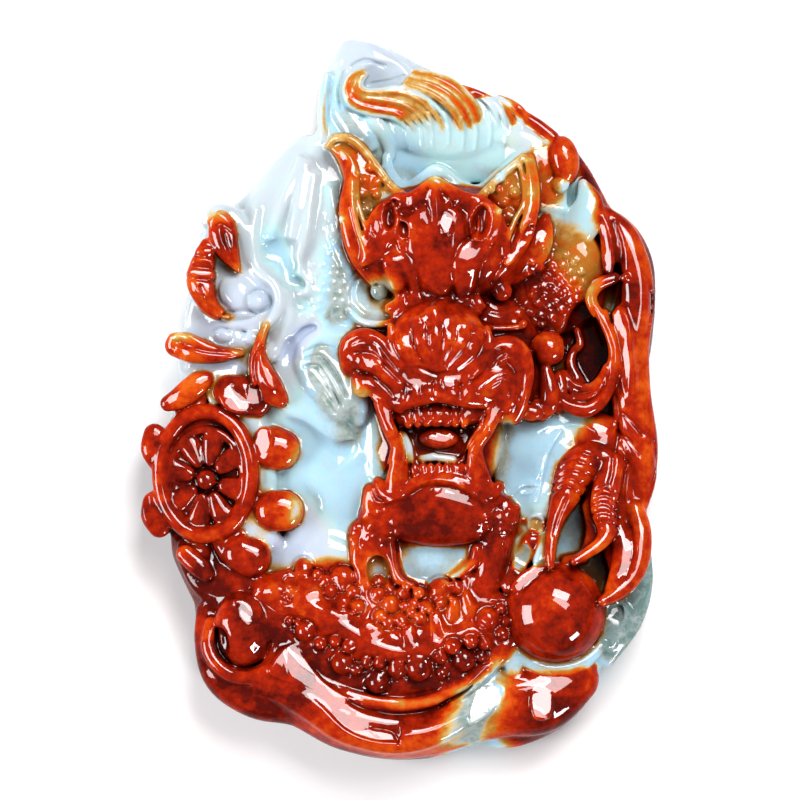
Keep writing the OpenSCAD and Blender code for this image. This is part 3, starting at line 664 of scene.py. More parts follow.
LOWER_LIP = [
    [[378, 482, 5, 58], [384, 492, 6, 63], [395, 495, 6, 66], [405, 490, 6, 67], [416, 482, 6, 69],
     [428, 478, 6, 70], [450, 478, 6, 70], [464, 482, 6, 69], [477, 491, 6, 67], [489, 494, 6, 65],
     [497, 486, 5, 60]],
]
LIP_LINES = [
    [[370, 490, 2], [374, 500, 2.4], [384, 502, 2.4], [398, 496, 2.4], [412, 486, 2.4], [426, 480, 2.4],
     [442, 479, 2.4], [458, 484, 2.4], [472, 494, 2.4], [484, 502, 2.4], [500, 508, 2]],
]
CHIN = [440, 507, 66, 38, 66, 0.62, 0]
# Leans of ground faces that mirror a light: the rise to the right and the rise upwards
TO_LARGE_BOX, BELOW_LARGE_BOX, TO_CARD = (-0.12, -0.30), (-0.12, -0.27), (-0.12, -0.16)
TO_LEFT_BOX, BESIDE_LEFT_BOX = (0.57, 0.07), (0.5, 0.07)
# Flat ground faces: outline, height at the middle, lean
FACETS = [
    ([[282, 648], [295, 642], [305, 656], [322, 678], [343, 693], [370, 703], [396, 716], [399, 738],
      [372, 738], [345, 727], [322, 704], [300, 686], [276, 676], [268, 668]],
     47, TO_CARD),
    ([[529, 694], [538, 690], [551, 692], [552, 708], [546, 718], [532, 716]], 46, TO_LARGE_BOX),
    ([[474, 690], [500, 685], [501, 699], [484, 716], [467, 722]], 44, TO_LARGE_BOX),
    ([[440, 214], [450, 212], [451, 232], [441, 235]], 90, TO_LARGE_BOX),
    ([[474, 214], [481, 212], [483, 230], [478, 239], [472, 236]], 86, TO_LARGE_BOX),
    ([[219, 390], [236, 384], [246, 398], [250, 411], [234, 412], [222, 404]], 47, TO_LARGE_BOX),
    ([[256, 432], [263, 426], [272, 431], [271, 455], [263, 459], [256, 448]], 45, BESIDE_LEFT_BOX),
    ([[611, 314], [619, 309], [627, 318], [631, 350], [632, 396], [624, 392], [618, 350]], 50, TO_LEFT_BOX),
    ([[598, 217], [604, 220], [611, 248], [612, 272], [603, 270], [600, 248]], 36, TO_LEFT_BOX),
    ([[509, 588], [516, 576], [530, 566], [543, 559], [545, 568], [531, 582], [518, 592]], 54, TO_CARD),
    ([[607, 608], [620, 604], [622, 618], [612, 627], [606, 622]], 27, TO_LARGE_BOX),
    ([[356, 347], [366, 345], [379, 354], [385, 365], [374, 365], [362, 358]], 87, BESIDE_LEFT_BOX),
    ([[441, 378], [457, 373], [463, 373], [456, 386], [444, 388]], 89, TO_LARGE_BOX),
    ([[383, 204], [394, 200], [398, 206], [388, 212], [382, 224], [376, 236], [371, 232], [375, 214]],
     77, TO_CARD),
    ([[396, 224], [404, 222], [408, 232], [406, 248], [400, 252], [396, 240]], 82, TO_CARD),
    ([[416, 206], [428, 208], [430, 222], [424, 232], [418, 222]], 89, TO_CARD),
    ([[484, 206], [496, 206], [500, 222], [496, 240], [488, 246], [486, 232], [488, 218]], 84, TO_CARD),
    ([[458, 244], [470, 238], [482, 244], [476, 254], [464, 262], [456, 258]], 86, TO_CARD),
    ([[527, 226], [533, 230], [522, 250], [508, 266], [502, 262], [514, 248]], 73, TO_LARGE_BOX),
    ([[402, 370], [412, 376], [421, 380], [420, 390], [410, 388], [402, 378]], 87, BELOW_LARGE_BOX),
    ([[470, 374], [484, 362], [497, 349], [504, 349], [496, 362], [480, 376], [470, 381]], 89, TO_CARD),
    ([[417, 316], [428, 312], [432, 320], [430, 330], [423, 326]], 95, BELOW_LARGE_BOX),
    ([[401, 334], [408, 334], [412, 342], [406, 346], [400, 342]], 93, BELOW_LARGE_BOX),
    ([[376, 402], [386, 402], [392, 414], [394, 428], [388, 428], [380, 414]], 77, TO_CARD),
    ([[492, 402], [499, 404], [496, 416], [488, 428], [483, 424], [488, 412]], 78, TO_CARD),
    ([[232, 600], [243, 598], [252, 606], [254, 618], [246, 618], [240, 608]], 47, TO_CARD),
    ([[280, 591], [297, 587], [300, 593], [283, 598]], 48, TO_CARD),
    ([[303, 594], [318, 589], [322, 594], [308, 600]], 52, TO_CARD),
    ([[364, 622], [378, 620], [384, 632], [372, 638], [362, 632]], 59, TO_CARD),
    ([[402, 626], [412, 622], [414, 640], [404, 646]], 60, TO_CARD),
    ([[430, 606], [438, 602], [438, 626], [430, 640]], 58, TO_CARD),
    ([[222, 226], [230, 228], [232, 246], [226, 248], [222, 238]], 51, TO_CARD),
    ([[192, 266], [208, 262], [212, 280], [208, 298], [200, 296], [194, 282]], 52, TO_CARD),
    ([[262, 362], [270, 366], [276, 386], [268, 388], [262, 376]], 61, TO_CARD),
    ([[594, 496], [606, 494], [606, 516], [596, 520]], 57, TO_CARD),
    ([[248, 386], [260, 388], [262, 400], [254, 408], [248, 398]], 44, TO_CARD),
    ([[143, 498], [150, 494], [153, 512], [148, 524], [143, 514]], 29, TO_CARD),
    ([[426, 434], [446, 431], [450, 438], [440, 443], [428, 441]], 57, BELOW_LARGE_BOX),
]
# Low places between the red forms, filled so that no deep slot is left
HEAD_FILLS = [
    [[534, 350, 9, 50], [534, 376, 9, 50], [531, 400, 8, 46]],
    [[588, 506, 7, 38], [593, 528, 8, 40], [587, 548, 6, 42]], [[540, 540, 6, 44], [541, 556, 7, 48]],
    [[467, 580, 8, 46], [460, 590, 8, 48]], [[418, 385, 6, 84], [434, 384, 7, 85], [450, 385, 6, 84]],
    [[222, 543, 9, 35], [227, 553, 8, 35]], [[566, 561, 6, 46], [582, 557, 5, 46]],
]
TONGUE_ROOT = [437, 442, 38, 30, 45, 0.4, 0]

CHIN_HOLLOW = [432, 558, 36, 24, 34, 0.5, 8]
CHIN_POOL = [432, 556, 46, 32, 38, 0.4, 8]
CHIN_CORNERS = [
    [[370, 490, 6, 56], [374, 508, 12, 58], [384, 524, 13, 55]],
    [[502, 502, 6, 54], [506, 514, 12, 56], [496, 526, 14, 54]],
]
THROAT = [
    [[378, 518, 20, 50], [372, 545, 18, 50], [372, 575, 16, 48], [378, 600, 16, 46]],
    [[357, 530, 8, 44], [357, 555, 7, 46], [360, 580, 6, 46], [368, 602, 5, 46]],
    [[388, 540, 6, 48], [392, 562, 5, 50], [400, 580, 5, 52], [420, 590, 5, 52]],
    [[498, 518, 20, 50], [494, 545, 17, 50], [488, 575, 15, 48], [474, 596, 14, 46]],
    [[476, 548, 5, 50], [472, 562, 5, 50], [456, 574, 5, 50], [446, 584, 5, 50]],
    [[530, 540, 8, 44], [520, 560, 8, 44], [508, 586, 7, 44]],
]
THROAT_HOLLOWS = [[378, 570, 12, 16, 32, 0.7, 10], [521, 556, 11, 13, 34, 0.7, 0]]

WHISKER = [
    [558, 392, 6, 56], [568, 404, 8, 56], [584, 408, 9, 55], [597, 400, 9, 53], [607, 384, 8, 53],
    [612, 366, 7, 53], [613, 350, 6, 52], [608, 332, 6, 51], [600, 318, 6, 50], [592, 306, 6, 49],
    [590, 296, 6, 48], [597, 285, 6, 48], [610, 279, 6, 47], [624, 277, 5, 45],
]
WHISKER_STRANDS = [
    [[562, 372, 3, 44], [572, 384, 4, 48], [586, 388, 4, 50], [598, 380, 4, 50], [605, 366, 3, 50]],
    [[604, 312, 3, 48], [606, 330, 3, 50], [611, 346, 3, 51]],
    [[566, 380, 3, 44], [576, 396, 4, 52], [590, 396, 4, 54], [602, 384, 3, 54]],
]
WHISKER_LINES = [
    [[562, 398, 1.5], [584, 402, 2], [601, 390, 2], [607, 370, 1.5]],
    [[604, 344, 1.5], [598, 326, 2], [592, 308, 1.5]],
]
WHISKER_HOLLOW = [584, 344, 20, 42, 8, 0.5, 0]
HOLLOW_EDGE = [[576, 330, 3, 30], [579, 344, 4, 34], [572, 352, 4, 34], [570, 366, 5, 38], [580, 384, 5, 42]]

SIDE_MASS = [[560, 246, 20, 26], [575, 275, 24, 28], [585, 300, 16, 22]]
BODY_BAND = [
    [604, 214, 8, 30], [622, 236, 14, 38], [634, 270, 16, 42], [636, 310, 16, 44], [630, 350, 18, 46],
    [630, 395, 20, 46], [638, 440, 18, 42], [642, 478, 13, 36], [634, 512, 10, 30],
]
BAND_WEDGE = [[602, 214, 3, 34], [606, 236, 5, 40], [610, 262, 4, 40]]
BAND_RIDGE = [[618, 312, 7, 50], [624, 345, 8, 53], [628, 380, 8, 53], [630, 398, 5, 48]]
BAND_LINES = [
    [[612, 222, 3], [620, 250, 4], [618, 284, 4], [612, 310, 3]],
    [[620, 412, 2], [630, 420, 2.5], [642, 434, 2]], [[616, 430, 2], [628, 440, 2.5], [640, 456, 2]],
    [[616, 452, 2], [626, 462, 2]], [[615, 396, 2], [618, 420, 2.5], [614, 452, 2]],
    [[652, 440, 2], [654, 465, 2], [648, 490, 2]], [[644, 276, 2], [650, 300, 3], [646, 330, 2]],
]
SIDE_DOMES = [
    [563, 160, 15, 24, 48, 0.9, 8, SKIN], [541, 166, 13, 20, 40, 0.8, 0, THIN],
    [546, 190, 16, 17, 38, 0.6, 0, THIN], [559, 185, 9, 8, 45, 0.8, 15, JADE],
    [577, 258, 22, 26, 36, 0.5, 0, THIN],
]
PALE_LEAF = [[582, 184, 5, 30], [588, 204, 14, 37], [580, 224, 19, 38], [564, 238, 12, 34]]
PALE_STRIP = [[538, 207, 5, 36], [562, 209, 5, 34]]

PAW_MASS = [
    [[305, 150, 14, 16], [292, 180, 26, 26], [276, 215, 32, 32], [262, 255, 32, 34], [252, 295, 34, 36],
     [246, 330, 34, 32], [250, 368, 26, 26]],
    [[325, 150, 12, 20], [325, 200, 26, 34], [322, 250, 28, 38], [320, 300, 28, 40], [322, 345, 26, 38]],
    [[224, 218, 12, 26], [216, 250, 16, 30], [208, 290, 16, 28], [200, 325, 16, 24], [196, 362, 18, 20]],
]
WHITE_FOLDS = [
    [[300, 160, 4, 30], [284, 200, 5, 38], [270, 236, 4, 38]],
    [[306, 166, 4, 32], [298, 206, 5, 41], [292, 236, 4, 40]],
    [[314, 176, 3, 34], [308, 216, 4, 42], [303, 244, 5, 44], [298, 262, 6, 42], [302, 276, 5, 41],
     [309, 290, 4, 42]],
    [[330, 190, 3, 38], [334, 220, 4, 44], [338, 250, 4, 46], [350, 272, 3, 48]],
    [[255, 210, 3, 34], [252, 236, 4, 38], [254, 262, 4, 38], [262, 274, 5, 42], [274, 284, 5, 45],
     [279, 300, 5, 46], [275, 314, 5, 47], [267, 324, 4, 48]],
    [[284, 292, 4, 40], [290, 312, 4, 41], [284, 330, 4, 40], [276, 350, 4, 38]],
    [[318, 330, 4, 42], [306, 352, 4, 40]], [[190, 366, 3, 26], [210, 372, 4, 28], [234, 372, 4, 30]],
    [[206, 222, 5, 34], [214, 211, 6, 37], [230, 214, 7, 38], [242, 230, 6, 38], [247, 256, 4, 36]],
]
WHITE_HOLLOWS = [
    [273, 253, 13, 11, 28, 0.5, 0], [283, 251, 12, 12, 28, 0.5, 0], [287, 266, 10, 11, 28, 0.5, 0],
    [297, 282, 9, 6, 30, 0.6, -30], [303, 304, 9, 7, 34, 0.5, 0], [306, 334, 13, 7, 32, 0.6, 35],
    [290, 352, 9, 14, 30, 0.7, -15], [238, 334, 18, 5, 26, 0.5, -5], [214, 296, 6, 8, 28, 0.5, 0],
]
PALE_PAW = [
    [240, 296, 16, 20, 42, 0.6, 20], [258, 302, 8, 8, 42, 0.7, 0], [226, 290, 7, 12, 38, 0.6, 0],
    [232, 336, 16, 7, 34, 0.6, -12], [252, 338, 8, 6, 38, 0.6, 0], [270, 352, 8, 9, 40, 0.8, 0],
    [232, 248, 6, 12, 34, 0.6, 20],
]
PAW_RINGS = [
    [258, 302, 12, 12, 2.5, 0.25, 0], [238, 316, 18, 5, 2.5, 0.25, 5], [222, 336, 10, 8, 2.5, 0.2, 0],
]
CLAWS = [
    [[221, 217, 6, 44], [222, 232, 12, 48], [226, 247, 10, 48], [232, 259, 6, 46], [238, 270, 2, 40]],
    [[207, 245, 6, 42], [203, 260, 9, 47], [200, 280, 12, 48], [205, 298, 9, 46], [215, 311, 6, 43],
     [228, 317, 2.5, 38]],
    [[176, 345, 10, 34], [190, 349, 11, 43], [205, 352, 9, 44], [222, 354, 6, 42], [241, 353, 2.5, 37]],
    [[266, 325, 3, 48], [260, 342, 4, 50], [258, 358, 7, 53], [263, 376, 11, 55], [271, 390, 11, 53],
     [279, 399, 7, 47]],
]
CLAW_TOPS = [
    [[211, 222, 3, 48], [219, 216, 3, 51], [231, 224, 3, 49]],
    [[172, 336, 3, 38], [186, 336, 4, 47], [200, 342, 3, 48], [214, 348, 2, 46]],
    [[200, 251, 3, 50], [210, 251, 3, 50]], [[195, 262, 3, 52], [210, 263, 3, 52]],
    [[191, 273, 3, 53], [211, 275, 3, 53]], [[258, 350, 2, 58], [263, 368, 2.5, 61], [272, 386, 2, 59]],
]
CLAW_LINES = [
    [[213, 228, 1.5], [221, 224, 2], [233, 232, 1.5]], [[224, 232, 2], [228, 246, 2.5], [235, 262, 1.5]],
    [[196, 256, 1.5], [211, 257, 1.5]], [[192, 267, 1.5], [212, 269, 1.5]],
    [[188, 278, 1.5], [213, 281, 1.5]], [[200, 286, 2], [208, 302, 2.5], [224, 315, 1.5]],
    [[178, 342, 2], [192, 347, 2.5], [208, 351, 2.5], [232, 353, 1.5]],
    [[262, 344, 1.5], [254, 364, 2], [258, 386, 2]],
]
CHEEK_LOBES = [
    (JADE, [[346, 338, 10, 50], [328, 338, 12, 48], [311, 346, 12, 44], [302, 360, 9, 38]]),
    (JADE,
     [[304, 366, 10, 40], [316, 382, 14, 44], [334, 398, 14, 48], [346, 412, 12, 48], [354, 424, 8, 42]]),
    (JADE,
     [[330, 350, 12, 50], [343, 366, 13, 56], [353, 386, 12, 58], [359, 406, 9, 56], [359, 420, 6, 48]]),
    (JADE, [[314, 358, 8, 46], [327, 372, 9, 51], [339, 390, 8, 55], [346, 406, 6, 54]]),
]
CHEEK_LINES = [
    [[304, 352, 1.5], [318, 346, 2.5], [336, 348, 1.5]],
    [[306, 358, 1.5], [320, 356, 3], [335, 374, 3], [346, 396, 2]],
    [[306, 366, 1.5], [318, 366, 2.5], [330, 384, 2.5], [340, 404, 2]], [[322, 394, 1.5], [334, 412, 1.5]],
]
BROW_MASS = [[346, 225, 16, 40], [346, 285, 26, 42], [352, 312, 22, 44]]

# The wheel: place, half width, half length, height, and the rise to its right rim
WHEEL = [205, 473, 46, 62, 37]
WHEEL_LEAN = 6
# Height in millimetres where the outer lobes spring from the wall
LOBE_ROOT = 3.4
WHEEL_LOBES = [
    [[154, 434, 11, 28], [153, 448, 12.5, 31], [157, 460, 10, 29]],
    [[155, 502, 12, 28], [154, 514, 13.5, 31], [159, 526, 11, 29]],
    [[185, 553, 9, 34], [198, 565, 10, 37], [207, 574, 7, 35]], [[241, 553, 18, 43], [251, 557, 19, 44]],
    [[275, 510, 20, 47], [283, 510, 20, 47]], [[273, 447, 21, 47], [279, 449, 20, 47]],
    [[230, 391, 16, 44], [244, 396, 19, 46], [256, 402, 14, 44]],
]
WHEEL_LEAF = [[168, 403, 8, 34], [180, 397, 11, 40], [194, 386, 12, 43], [205, 379, 8, 41]]
LEAF_STEM = [[185, 412, 10, 28], [196, 400, 10, 32]]

# The pearl's place and height
PEARL = [554, 611, 74]
PALM = [[596, 440, 28, 40], [606, 478, 26, 40], [616, 520, 22, 38], [622, 560, 16, 38]]
FINGERS = [
    [[600, 456, 13, 46], [586, 460, 18, 54], [573, 474, 18, 58], [565, 494, 14, 60], [556, 514, 9, 64],
     [551, 534, 6, 68], [549, 552, 5, 72], [549, 564, 4, 73]],
    [[612, 462, 13, 48], [606, 484, 14, 55], [602, 506, 13, 59], [606, 528, 10, 60], [600, 541, 7, 64],
     [587, 551, 5.5, 68], [573, 560, 4, 72]],
    [[634, 508, 9, 40], [639, 530, 11, 48], [637, 556, 12, 53], [630, 576, 10, 56], [617, 590, 8, 60],
     [601, 600, 5, 66]],
    [[618, 528, 11, 44], [622, 552, 11, 50], [616, 576, 9, 54], [610, 590, 7, 58]],
    [[560, 458, 3, 24], [547, 480, 3, 28], [543, 510, 3, 34], [542, 540, 4, 46], [539, 560, 7, 54]],
]
FINGER_LINES = [
    [[564, 460, 1.5], [578, 452, 2], [600, 460, 1.5]], [[558, 470, 1.5], [572, 460, 2], [592, 466, 1.5]],
    [[555, 478, 1.5], [572, 469, 2], [590, 476, 1.5]], [[553, 485, 1.5], [568, 477, 2], [585, 486, 1.5]],
    [[552, 492, 1.5], [566, 485, 2], [580, 496, 1.5]], [[566, 496, 1.5], [558, 514, 2], [552, 534, 1.5]],
    [[594, 490, 1.5], [604, 486, 2], [616, 494, 1.5]], [[592, 498, 1.5], [604, 494, 2], [615, 502, 1.5]],
    [[591, 506, 1.5], [603, 502, 2], [614, 510, 1.5]], [[592, 514, 1.5], [604, 511, 2], [616, 518, 1.5]],
    [[596, 522, 1.5], [606, 520, 2], [616, 527, 1.5]], [[612, 450, 2], [611, 470, 2.5], [606, 488, 2]],
    [[624, 470, 2], [622, 500, 2.5], [626, 528, 2]], [[630, 526, 1.5], [632, 552, 2], [624, 578, 1.5]],
]
HAND_BEAD = [534, 523, 8.5]
HAND_RINGS = [[526, 487, 9, 6, 2, -0.12, 20], [535, 523, 8, 8, 2.5, -0.3, 0]]
HAND_HOLLOWS = [[571, 527, 11, 20, 27, 0.6, 15], [592, 574, 8, 13, 37, 0.6, 15]]

BODY_MASS = [
    [256, 588, 9, 32], [285, 600, 30, 43], [325, 618, 50, 50], [375, 636, 58, 54], [425, 638, 56, 54],
    [468, 630, 46, 52], [498, 622, 28, 47],
]
BODY_CREST = [
    [262, 588, 6, 42], [300, 602, 9, 52], [335, 622, 10, 58], [368, 644, 10, 60], [405, 654, 10, 61],
    [440, 644, 10, 61], [478, 630, 8, 57],
]
BODY_LOBES = [
    [282, 590, 15, 7, 48, 0.7, -8, SKIN], [312, 594, 14, 6, 52, 0.7, 12, SKIN],
    [372, 626, 12, 7, 60, 0.7, 12, SKIN], [340, 612, 16, 6, 57, 0.6, 0, SKIN],
    [408, 634, 6, 14, 60, 0.7, 25, SKIN], [436, 622, 6, 18, 60, 0.7, 30, SKIN],
    [452, 606, 6, 14, 56, 0.7, 0, SKIN], [468, 604, 6, 16, 54, 0.7, 20, SKIN],
]
# Beads: column, row, radius. Those from this row down stand higher
HIGH_BEADS_BELOW = 625
BEADS = [
    [303, 567, 9], [317, 573, 5], [326, 580, 6.5], [330, 590, 6.5], [342, 577, 13], [353, 591, 6.5],
    [343, 601, 8], [357, 606, 7.5], [378, 593, 7], [378, 580, 6], [390, 603, 9], [403, 592, 7],
    [404, 605, 5], [413, 603, 6], [418, 592, 6], [440, 590, 13], [425, 606, 7], [440, 602, 6],
    [455, 586, 7], [380, 615, 7], [388, 621, 7], [400, 619, 7], [411, 612, 5], [420, 617, 6.5],
    [487, 617, 11], [418, 667, 13], [463, 658, 12], [377, 681, 11], [342, 662, 11], [305, 630, 10],
    [501, 633, 6.5], [452, 645, 8], [367, 661, 6], [379, 661, 6], [320, 643, 6], [335, 640, 6],
    [348, 645, 6.5], [441, 672, 6], [290, 582, 5], [286, 596, 4], [397, 668, 9], [356, 668, 7],
    [470, 640, 7], [484, 642, 7], [480, 655, 6], [505, 620, 5], [500, 608, 5], [440, 656, 6], [298, 622, 4],
    [289, 620, 4],
]
THROAT_BEADS = [
    [383, 520, 5], [394, 522, 5], [397, 531, 4.5], [370, 527, 5], [357, 527, 6.5], [370, 536, 5],
    [364, 544, 4.5], [379, 541, 4.5], [388, 530, 4.5], [376, 512, 4], [365, 516, 4], [386, 508, 4],
    [484, 516, 4.5], [486, 526, 5], [497, 518, 5], [505, 516, 5], [514, 519, 4.5], [508, 509, 4],
    [516, 508, 4], [523, 520, 4.5], [498, 530, 4.5], [508, 527, 4.5], [518, 530, 4], [490, 508, 4],
    [476, 522, 4], [478, 533, 4], [488, 538, 4], [500, 540, 4], [352, 538, 4], [384, 550, 4], [356, 549, 4],
]
BROW_BEAD_RADIUS = 4.6
BROW_BEADS = [
    [541, 247], [552, 247], [547, 257], [557, 257], [539, 267], [551, 267], [534, 275], [545, 277],
    [541, 286], [533, 288], [549, 287], [557, 278], [568, 272], [573, 280], [562, 284], [567, 290],
    [555, 292], [563, 297], [568, 303], [543, 296], [524, 304], [536, 303], [547, 307], [518, 312],
    [528, 315], [539, 315], [514, 321], [533, 323], [555, 303], [560, 310], [530, 295], [561, 265],
    [564, 255], [572, 262], [580, 272], [578, 290], [550, 318], [522, 324], [541, 325], [531, 262],
    [526, 272], [582, 282], [575, 299],
]
# Fields of small pale beads: first and last column, first and last row, pitch, radius
PALE_BEAD_FIELDS = [[326, 350, 212, 262, 9.5, 3.4], [312, 352, 266, 332, 10, 3.9]]

WAVE_BAND = [
    [206, 610, 10, 22], [210, 640, 16, 28], [226, 672, 24, 34], [258, 692, 26, 36], [300, 698, 28, 38],
    [345, 716, 32, 42], [390, 722, 34, 42], [430, 720, 34, 40], [470, 708, 34, 40], [505, 700, 36, 42],
    [540, 696, 36, 42], [572, 678, 26, 36],
]
WAVE_TOP = [
    [262, 676, 12, 44], [292, 692, 14, 49], [318, 708, 15, 52], [345, 726, 15, 53], [390, 738, 14, 53],
    [430, 733, 12, 51], [465, 716, 9, 47],
]
WAVE_CHANNEL = [
    [318, 640, 14, 26], [350, 668, 14, 28], [390, 684, 12, 30], [430, 684, 12, 30], [470, 662, 12, 30],
]
WAVE_LIP = [
    [285, 646, 6, 36], [300, 658, 7, 38], [318, 676, 8, 40], [340, 692, 8, 42], [370, 700, 7, 44],
    [404, 703, 6, 45], [444, 694, 6, 46], [480, 674, 5, 46], [502, 654, 4, 44],
]
WAVE_GROOVES = [
    [[348, 700, 2.5], [366, 708, 4], [396, 713, 5], [426, 710, 4], [447, 702, 2.5]],
    [[486, 668, 2.5], [466, 688, 3.5], [440, 703, 2.5]],
    [[370, 726, 1.2], [392, 730, 1.6], [398, 742, 1.2]],
]
WAVE_FOLD = [[448, 690, 6, 46], [468, 684, 6, 48], [484, 668, 6, 48]]
CURL_BALL = [241, 625, 27, 34, 50, 0.75, 0]
CURL_RING = [
    [210, 622, 6, 34], [208, 645, 7, 38], [216, 662, 7, 41], [232, 674, 7, 44], [252, 676, 7, 46],
    [272, 666, 7, 46], [284, 652, 6, 44],
]
CURL_FILL = [[266, 620, 10, 38], [262, 650, 12, 38], [236, 662, 10, 36]]
CURL_HOLLOW = [222, 640, 6, 13, 34, 0.8, 10]
CURL_GROOVE = [[217, 628, 3], [218, 648, 4], [230, 662, 4], [246, 666, 4], [262, 658, 4], [270, 642, 3]]
SLAB_LEDGE = [[604, 654, 12, 22], [628, 618, 14, 24], [640, 580, 12, 22], [640, 540, 8, 18]]
PEARL_RING = [[508, 640, 5, 34], [528, 660, 7, 38], [552, 668, 7, 38], [580, 662, 7, 36], [600, 645, 6, 32]]

MOSS_RIDGE = [[508, 424, 4, 28], [500, 440, 9, 32], [498, 462, 9, 32], [502, 480, 5, 28]]
FLOOR_LINES = [
    [[560, 430, 2], [548, 450, 2.5], [540, 480, 2.5], [536, 500, 2]],
    [[508, 498, 2], [520, 486, 2.5], [536, 484, 2]], [[566, 425, 2], [580, 424, 2.5], [594, 432, 2]],
]
FLOOR_SWELLS = [
    [[388, 197, 7, 58], [396, 203, 7, 64]],
    [[530, 160, 12, 30], [548, 178, 14, 32], [552, 204, 14, 32], [548, 224, 10, 32]],
    [[330, 562, 20, 34], [350, 560, 12, 34]],
    [[378, 408, 9, 42], [382, 430, 10, 42], [384, 452, 10, 40], [380, 472, 8, 36]],
    [[288, 664, 9, 38], [300, 672, 8, 38]], [[508, 650, 9, 38], [512, 664, 8, 38]],
    [[516, 512, 14, 34], [522, 530, 14, 34], [520, 550, 14, 34]],
    [[262, 405, 22, 26], [290, 425, 26, 26], [312, 450, 24, 24]],
    [[300, 560, 18, 26], [310, 530, 24, 26], [304, 500, 22, 24], [300, 470, 16, 22]],
    [[345, 440, 14, 26], [360, 470, 14, 26], [352, 510, 18, 26], [344, 545, 16, 26]],
    [[366, 430, 7, 34], [368, 450, 8, 34], [362, 468, 6, 26]],
    [[520, 432, 20, 37], [548, 428, 24, 37], [580, 430, 18, 37]],
    [[530, 500, 18, 36], [516, 486, 18, 36], [526, 460, 22, 36]],
    [[196, 552, 20, 22], [212, 575, 24, 26], [232, 590, 24, 30]], [[262, 560, 18, 24], [240, 580, 16, 26]],
    [[215, 352, 20, 26], [240, 330, 18, 30]], [[264, 466, 9, 34], [266, 484, 10, 34]],
    [[250, 520, 10, 34], [263, 536, 12, 34]], [[211, 384, 8, 31], [214, 398, 6, 31]],
    [[249, 414, 9, 34], [257, 430, 7, 34]],
    [[287, 326, 10, 35], [290, 352, 11, 33], [289, 378, 12, 33], [292, 400, 12, 33]],
    [[304, 398, 12, 35], [322, 414, 13, 36], [338, 428, 10, 36]],
    [[322, 352, 16, 43], [330, 374, 18, 46], [343, 398, 16, 47]],
    [[610, 604, 12, 30], [614, 618, 12, 30], [606, 638, 9, 27]], [[328, 476, 13, 27], [338, 492, 13, 27]],
    [[557, 452, 10, 38], [551, 478, 10, 38], [547, 504, 8, 40]],
]

# The block's highest row, and the cord hole in millimetres
TIP_ROW = 40
HOLE_BELOW_TIP = 4.2
HOLE_HEIGHT = 3.0
HOLE_DIAMETER = 2.0

# Clouds of the pale jade: rows of column, row and half width, then tone and softness.
# Tone: 0 lavender, 0.35 white, 0.6 aqua, 0.85 sky, 1 grey-green
COOL_STAINS = [
    ([[440, 168, 70], [460, 168, 60]], 0.66, 20), ([[400, 170, 16], [412, 178, 14]], 0.9, 12),
    ([[345, 120, 20], [365, 140, 12]], 0.92, 10), ([[395, 140, 10], [405, 150, 10]], 0.85, 10),
    ([[330, 190, 12], [338, 230, 8]], 0.8, 10), ([[300, 250, 60], [290, 300, 50]], 0.38, 30),
    ([[336, 314, 20], [340, 284, 18], [334, 254, 12]], 0.94, 12), ([[376, 294, 16]], 0.99, 6),
    ([[250, 300, 26]], 0.16, 12), ([[235, 330, 26]], 0.2, 10), ([[225, 340, 40], [215, 370, 26]], 0.18, 12),
    ([[320, 440, 50], [330, 480, 55], [300, 530, 40]], 0.8, 22),
    ([[322, 352, 16], [325, 378, 24], [345, 402, 22]], 0.95, 10), ([[350, 430, 16]], 0.98, 10),
    ([[535, 440, 50], [520, 470, 40]], 0.82, 16), ([[580, 440, 14]], 0.2, 10), ([[430, 565, 40]], 0.9, 8),
    ([[380, 575, 14]], 0.2, 6), ([[522, 556, 14]], 0.97, 6), ([[575, 215, 30], [590, 230, 20]], 0.68, 10),
    ([[570, 525, 20], [575, 540, 16]], 0.97, 6), ([[600, 575, 12]], 0.97, 4),
    ([[640, 560, 26], [620, 640, 30]], 0.99, 8), ([[470, 700, 40], [470, 735, 36]], 0.93, 20),
    ([[510, 655, 20]], 0.93, 10), ([[550, 664, 46]], 0.88, 8), ([[280, 545, 50], [240, 580, 20]], 0.1, 14),
    ([[280, 480, 14]], 0.75, 8), ([[350, 52, 10], [385, 62, 26]], 0.24, 12),
    ([[508, 426, 8], [500, 448, 10], [498, 470, 9]], 1.0, 6), ([[330, 84, 8], [328, 110, 8]], 0.9, 8),
    ([[270, 236, 10], [277, 254, 12], [288, 270, 8], [297, 283, 5]], 0.8, 6), ([[303, 306, 6]], 0.76, 7),
    ([[314, 325, 7], [299, 338, 10], [288, 354, 9]], 0.0, 6),
]

